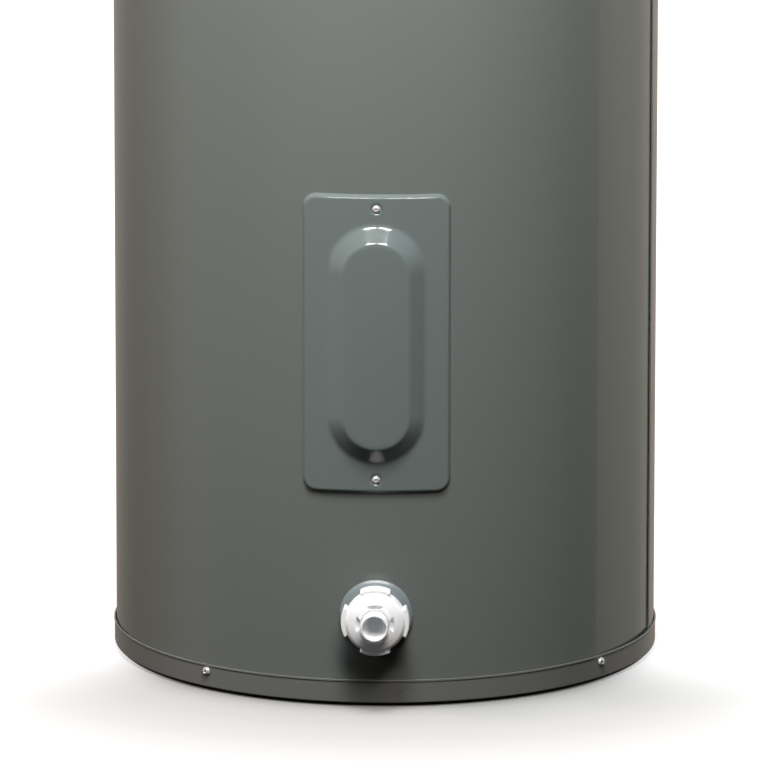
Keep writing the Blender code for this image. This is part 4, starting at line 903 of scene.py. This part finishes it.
ears = [prism("c", filleted([(8.9 * MM, -5 * MM), (11.5 * MM, -5 * MM), (11.5 * MM, 5 * MM), (8.9 * MM, 5 * MM)], 0.5 * MM, 2), 338 * MM, 356 * MM, "brass", R0, 0.3 * MM, 2),
        prism("c", filleted([(-11.5 * MM, -5 * MM), (-8.9 * MM, -5 * MM), (-8.9 * MM, 5 * MM), (-11.5 * MM, 5 * MM)], 0.5 * MM, 2), 338 * MM, 356 * MM, "brass", R0, 0.3 * MM, 2)]
boolean(relief, 'UNION', [branch, hexed] + ears, 35)
boolean(relief, 'DIFFERENCE', [prism("c", circle(11 * MM, 48), -2 * MM, 60 * MM, "brass", down),
                               prism("c", circle(8.4 * MM, 48), 190 * MM, 310.6 * MM, "brass", R0),
                               prism("c", circle(4.2 * MM, 32), 300 * MM, 350 * MM, "brass", R0)], 35)
weighted(relief)
place(relief, "tank", "brass", "relief_valve_body")

relief_ring = turned("relief_collar_plate", filleted([
    (14.5 * MM, 262.0 * MM), (30.0 * MM, 262.0 * MM), (30.0 * MM, JACKET_R + 1.6 * MM), (27.6 * MM, JACKET_R + 3.0 * MM),
    (17.0 * MM, JACKET_R + 4.6 * MM), (14.5 * MM, JACKET_R + 4.6 * MM)], [0, 0, 0.8 * MM, 2 * MM, 1.5 * MM, 0.5 * MM], 4), "grey_plastic", 96, R0)
body_clear = mesh_object("c", spun([(0, 1.2), (JACKET_R + 0.9 * MM, 1.2), (JACKET_R + 0.9 * MM, 1.45), (0, 1.45)], 360), None)
boolean(relief_ring, 'DIFFERENCE', [body_clear])
place(relief_ring, "tank", "grey_plastic", "relief_escutcheon")

# ------------------------------------------------------------------ CAD nodes that stay

node_slot = {}
for entry in frame["record"]["subparts"]:
    node_slot[entry["node"]] = entry["material_slot"]

EDGE = {"relief_valve_lever": 0.5, "junction_box": 0.3, "lower_element_head": 0.6, "upper_element_head": 0.6, "lower_thermostat": 0.5, "upper_thermostat": 0.5,
        "lower_thermostat_bracket": 0.2, "upper_thermostat_bracket": 0.2, "anode_rod": 0.5, "lower_thermostat_dial": 0.3, "upper_thermostat_dial": 0.3,
        "reset_button": 0.3, "relief_valve_stem": 0.3}
for name, obj in frame["nodes"].items():
    slot_name = node_slot.get(name)
    obj.data.materials.clear()
    obj.data.materials.append(MATS[slot_name])
    weld = obj.modifiers.new("weld", 'WELD')
    weld.merge_threshold = 2e-6
    obj.data.shade_smooth()
    obj.data.set_sharp_from_angle(angle=math.radians(32))
    if name in EDGE:
        bevel = obj.modifiers.new("edges", 'BEVEL')
        bevel.width = EDGE[name] * MM
        bevel.segments = 2
        bevel.limit_method = 'ANGLE'
        bevel.angle_limit = math.radians(34)
        bevel.harden_normals = False

# ------------------------------------------------------------------ floor, lights

def paint_floor(made):
    """A pale floor that glows softly and dims near the object: a painted contact shadow in its glow, strongest in
    front.
    """
    tree = made.mat.node_tree
    where = tree.nodes.new("ShaderNodeNewGeometry").outputs["Position"]
    flat = tree.nodes.new("ShaderNodeVectorMath")
    flat.operation = 'MULTIPLY'
    flat.inputs[1].default_value = (1.0, 1.0, 0.0)
    tree.links.new(where, flat.inputs[0])
    far = tree.nodes.new("ShaderNodeVectorMath")
    far.operation = 'LENGTH'
    tree.links.new(flat.outputs[0], far.inputs[0])
    span = tree.nodes.new("ShaderNodeMapRange")
    span.inputs["From Min"].default_value = PAN_OUT
    span.inputs["From Max"].default_value = PAN_OUT + 1.0
    tree.links.new(far.outputs["Value"], span.inputs["Value"])
    # painted contact shadow: the glow falls off towards the pan and turns warmer where it is darkest
    ramp = tree.nodes.new("ShaderNodeValToRGB")
    ramp.color_ramp.interpolation = 'B_SPLINE'
    stops = FLOOR_GLOW_AND_PAINTED_SHADOW
    while len(ramp.color_ramp.elements) < len(stops):
        ramp.color_ramp.elements.new(0.5)
    for element, (place_at, level) in zip(ramp.color_ramp.elements, stops):
        element.position = place_at
        element.color = (level, level * 0.992, level * 0.975, 1) if level < 0.75 else (level, level, level, 1)
    tree.links.new(span.outputs["Result"], ramp.inputs[0])
    unit = tree.nodes.new("ShaderNodeVectorMath")
    unit.operation = 'NORMALIZE'
    tree.links.new(flat.outputs[0], unit.inputs[0])
    ahead = tree.nodes.new("ShaderNodeVectorMath")
    ahead.operation = 'DOT_PRODUCT'
    ahead.inputs[1].default_value = (0.0, -1.0, 0.0)
    tree.links.new(unit.outputs[0], ahead.inputs[0])
    # the painted shadow is strongest in front of the object and fainter at the sides and back
    front = tree.nodes.new("ShaderNodeMapRange")
    front.interpolation_type = 'SMOOTHSTEP'
    front.inputs["From Min"].default_value = 0.10
    front.inputs["From Max"].default_value = 0.75
    front.inputs["To Min"].default_value = 0.25
    front.inputs["To Max"].default_value = 1.0
    tree.links.new(ahead.outputs["Value"], front.inputs["Value"])
    glow = tree.nodes.new("ShaderNodeMix")
    glow.data_type = 'RGBA'
    glow.inputs[6].default_value = (1.05, 1.05, 1.05, 1.0)
    tree.links.new(front.outputs["Result"], glow.inputs[0])
    tree.links.new(ramp.outputs["Color"], glow.inputs[7])
    tree.links.new(glow.outputs[2], made.shader.inputs["Emission Color"])
    made.shader.inputs["Emission Strength"].default_value = 1.0
    made.mat.cycles.emission_sampling = 'NONE'


# glow levels by distance from the pan; the low ones near it are a painted contact shadow
FLOOR_GLOW_AND_PAINTED_SHADOW = [(0.0, 0.05), (0.015, 0.26), (0.04, 0.36), (0.09, 0.42), (0.17, 0.54), (0.32, 0.78), (0.60, 1.0), (1.0, 1.05)]
floor_bm = bmesh.new()
bmesh.ops.create_circle(floor_bm, cap_ends=True, segments=96, radius=45.0)
floor = mesh_object("floor", floor_bm, None)
floor_mat = Nodes("floor")
floor_mat.colour(floor_mat.mixed(floor_mat.noise(0.6, 2.0), (0.20, 0.20, 0.20), (0.205, 0.205, 0.204)))
floor_mat.set(Roughness=0.9, Specular_IOR_Level=0.0)
paint_floor(floor_mat)
floor.data.materials.append(floor_mat.mat)
floor.location.z = -0.0002
floor.visible_diffuse = False
floor.visible_glossy = False

world = bpy.data.worlds.new("studio")
bpy.context.scene.world = world
world.use_nodes = True
wt = world.node_tree
wt.nodes.clear()


def sky(tree, lobes, base):
    """Colour of the studio round the object: a base tone and soft lobes of (azimuth, elevation, sharpness, colour)."""
    def node(kind, **values):
        made = tree.nodes.new(kind)
        for key, value in values.items():
            setattr(made, key, value)
        return made

    way = node("ShaderNodeTexCoord").outputs["Generated"]
    total = node("ShaderNodeCombineXYZ")
    for k in range(3):
        total.inputs[k].default_value = base[k]
    total = total.outputs[0]
    for azimuth, elevation, sharpness, colour in lobes:
        a, e = math.radians(azimuth), math.radians(elevation)
        dot = node("ShaderNodeVectorMath", operation='DOT_PRODUCT')
        dot.inputs[1].default_value = (math.sin(a) * math.cos(e), -math.cos(a) * math.cos(e), math.sin(e))
        tree.links.new(way, dot.inputs[0])
        top = node("ShaderNodeMath", operation='MAXIMUM')
        top.inputs[1].default_value = 0.0
        tree.links.new(dot.outputs["Value"], top.inputs[0])
        power = node("ShaderNodeMath", operation='POWER')
        power.inputs[1].default_value = sharpness
        tree.links.new(top.outputs[0], power.inputs[0])
        part = node("ShaderNodeVectorMath", operation='SCALE')
        part.inputs[0].default_value = colour
        tree.links.new(power.outputs[0], part.inputs["Scale"])
        added = node("ShaderNodeVectorMath", operation='ADD')
        tree.links.new(total, added.inputs[0])
        tree.links.new(part.outputs[0], added.inputs[1])
        total = added.outputs[0]
    return total


def light(name, location, target, size, power, colour=(1, 1, 1), glossy=True):
    data = bpy.data.lights.new(name, 'AREA')
    data.shape = 'RECTANGLE'
    data.size, data.size_y = size
    data.energy = power
    data.color = colour
    obj = bpy.data.objects.new(name, data)
    bpy.context.scene.collection.objects.link(obj)
    obj.location = location
    obj.rotation_mode = 'QUATERNION'
    obj.rotation_quaternion = (Vector(target) - Vector(location)).to_track_quat('-Z', 'Y')
    obj.visible_camera = False
    obj.visible_glossy = glossy
    return obj


def sun(name, azimuth, elevation, angle, strength, colour=(1, 1, 1)):
    data = bpy.data.lights.new(name, 'SUN')
    data.angle = math.radians(angle)
    data.energy = strength
    data.color = colour
    obj = bpy.data.objects.new(name, data)
    bpy.context.scene.collection.objects.link(obj)
    obj.rotation_mode = 'QUATERNION'
    obj.rotation_quaternion = (-polar(azimuth, elevation, 1.0, (0, 0, 0))).to_track_quat('-Z', 'Y')
    obj.visible_glossy = False
    return obj


def polar(azimuth, elevation, distance, at=(0, 0, 0.4)):
    a, e = math.radians(azimuth), math.radians(elevation)
    return Vector(at) + Vector((math.sin(a) * math.cos(e), -math.cos(a) * math.cos(e), math.sin(e))) * distance


MID, HIGH = (0, 0, 0.4), (0, 0, 0.85)
AREAS = [
    ("front", 0, 48, 1.5, HIGH, (0.5, 0.5), (43.0, 44.0, 45.2)),
    ("front_right", 11, 42, 3.0, MID, (0.85, 0.75), (53.5, 48.5, 45.0)),
    ("front_left", -14, 42, 3.0, MID, (1.05, 0.75), (3.2, 4.4, 5.0)),
    ("far_left", -80, 30, 3.0, MID, (0.7, 0.7), (53.5, 48.0, 42.2)),
    ("back", 178, 30, 3.2, MID, (1.4, 1.4), (70.0, 68.0, 66.0)),
]
# Two softboxes that only show as highlights on the glossy pieces.
BOXES = [("box_left", -14, 42, 2.7, (0.78, 0.66), 46.0), ("box_right", 13.5, 42, 2.7, (0.76, 0.66), 45.0)]
SUNS = [("overhead", 0, 89, 9, (0.35, 0.35, 0.35))]
AMBIENT, ABOVE = (0.004, 0.003, 0.002), [(0, 62, 3.0, (0.10, 0.10, 0.10)), (180, 40, 3.0, (0.5, 0.5, 0.5))]
MIRRORED = [
    (-180, (0.96, 0.72, 0.60)), (-150, (0.54, 0.50, 0.47)), (-120, (0.40, 0.27, 0.29)), (-90, (0.68, 0.60, 0.59)),
    (120, (1.44, 1.37, 1.23)), (150, (1.08, 1.06, 0.92)),
]


def strength(colour):
    top = max(colour)
    return top, tuple(c / top for c in colour)


for name, azimuth, elevation, distance, at, size, power in AREAS:
    watts, hue = strength(power)
    light(name, polar(azimuth, elevation, distance, at), (0, 0, 0.6) if at is HIGH else MID, size, watts, hue, glossy=False)
for name, azimuth, elevation, distance, size, watts in BOXES:
    light(name, polar(azimuth, elevation, distance, MID), MID, size, watts).visible_diffuse = False
for name, azimuth, elevation, angle, power in SUNS:
    watts, hue = strength(power)
    sun(name, azimuth, elevation, angle, watts, hue)

# The room is white to the eye; matt surfaces are lit by soft light from above and glossy ones mirror the room's walls.
path = wt.nodes.new("ShaderNodeLightPath")
out = wt.nodes.new("ShaderNodeOutputWorld")
matt = wt.nodes.new("ShaderNodeBackground")
wt.links.new(sky(wt, ABOVE, AMBIENT), matt.inputs["Color"])
gloss = wt.nodes.new("ShaderNodeBackground")
wt.links.new(sky(wt, [(azimuth, 2, 20.0, colour) for azimuth, colour in MIRRORED], AMBIENT), gloss.inputs["Color"])
white = wt.nodes.new("ShaderNodeBackground")
white.inputs["Color"].default_value = (1.0, 1.0, 1.0, 1)
white.inputs["Strength"].default_value = 1.05
seen = wt.nodes.new("ShaderNodeMixShader")
wt.links.new(path.outputs["Is Glossy Ray"], seen.inputs[0])
wt.links.new(matt.outputs[0], seen.inputs[1])
wt.links.new(gloss.outputs[0], seen.inputs[2])
room = wt.nodes.new("ShaderNodeMixShader")
wt.links.new(path.outputs["Is Camera Ray"], room.inputs[0])
wt.links.new(seen.outputs[0], room.inputs[1])
wt.links.new(white.outputs[0], room.inputs[2])
wt.links.new(room.outputs[0], out.inputs["Surface"])
world.cycles.sampling_method = 'NONE'
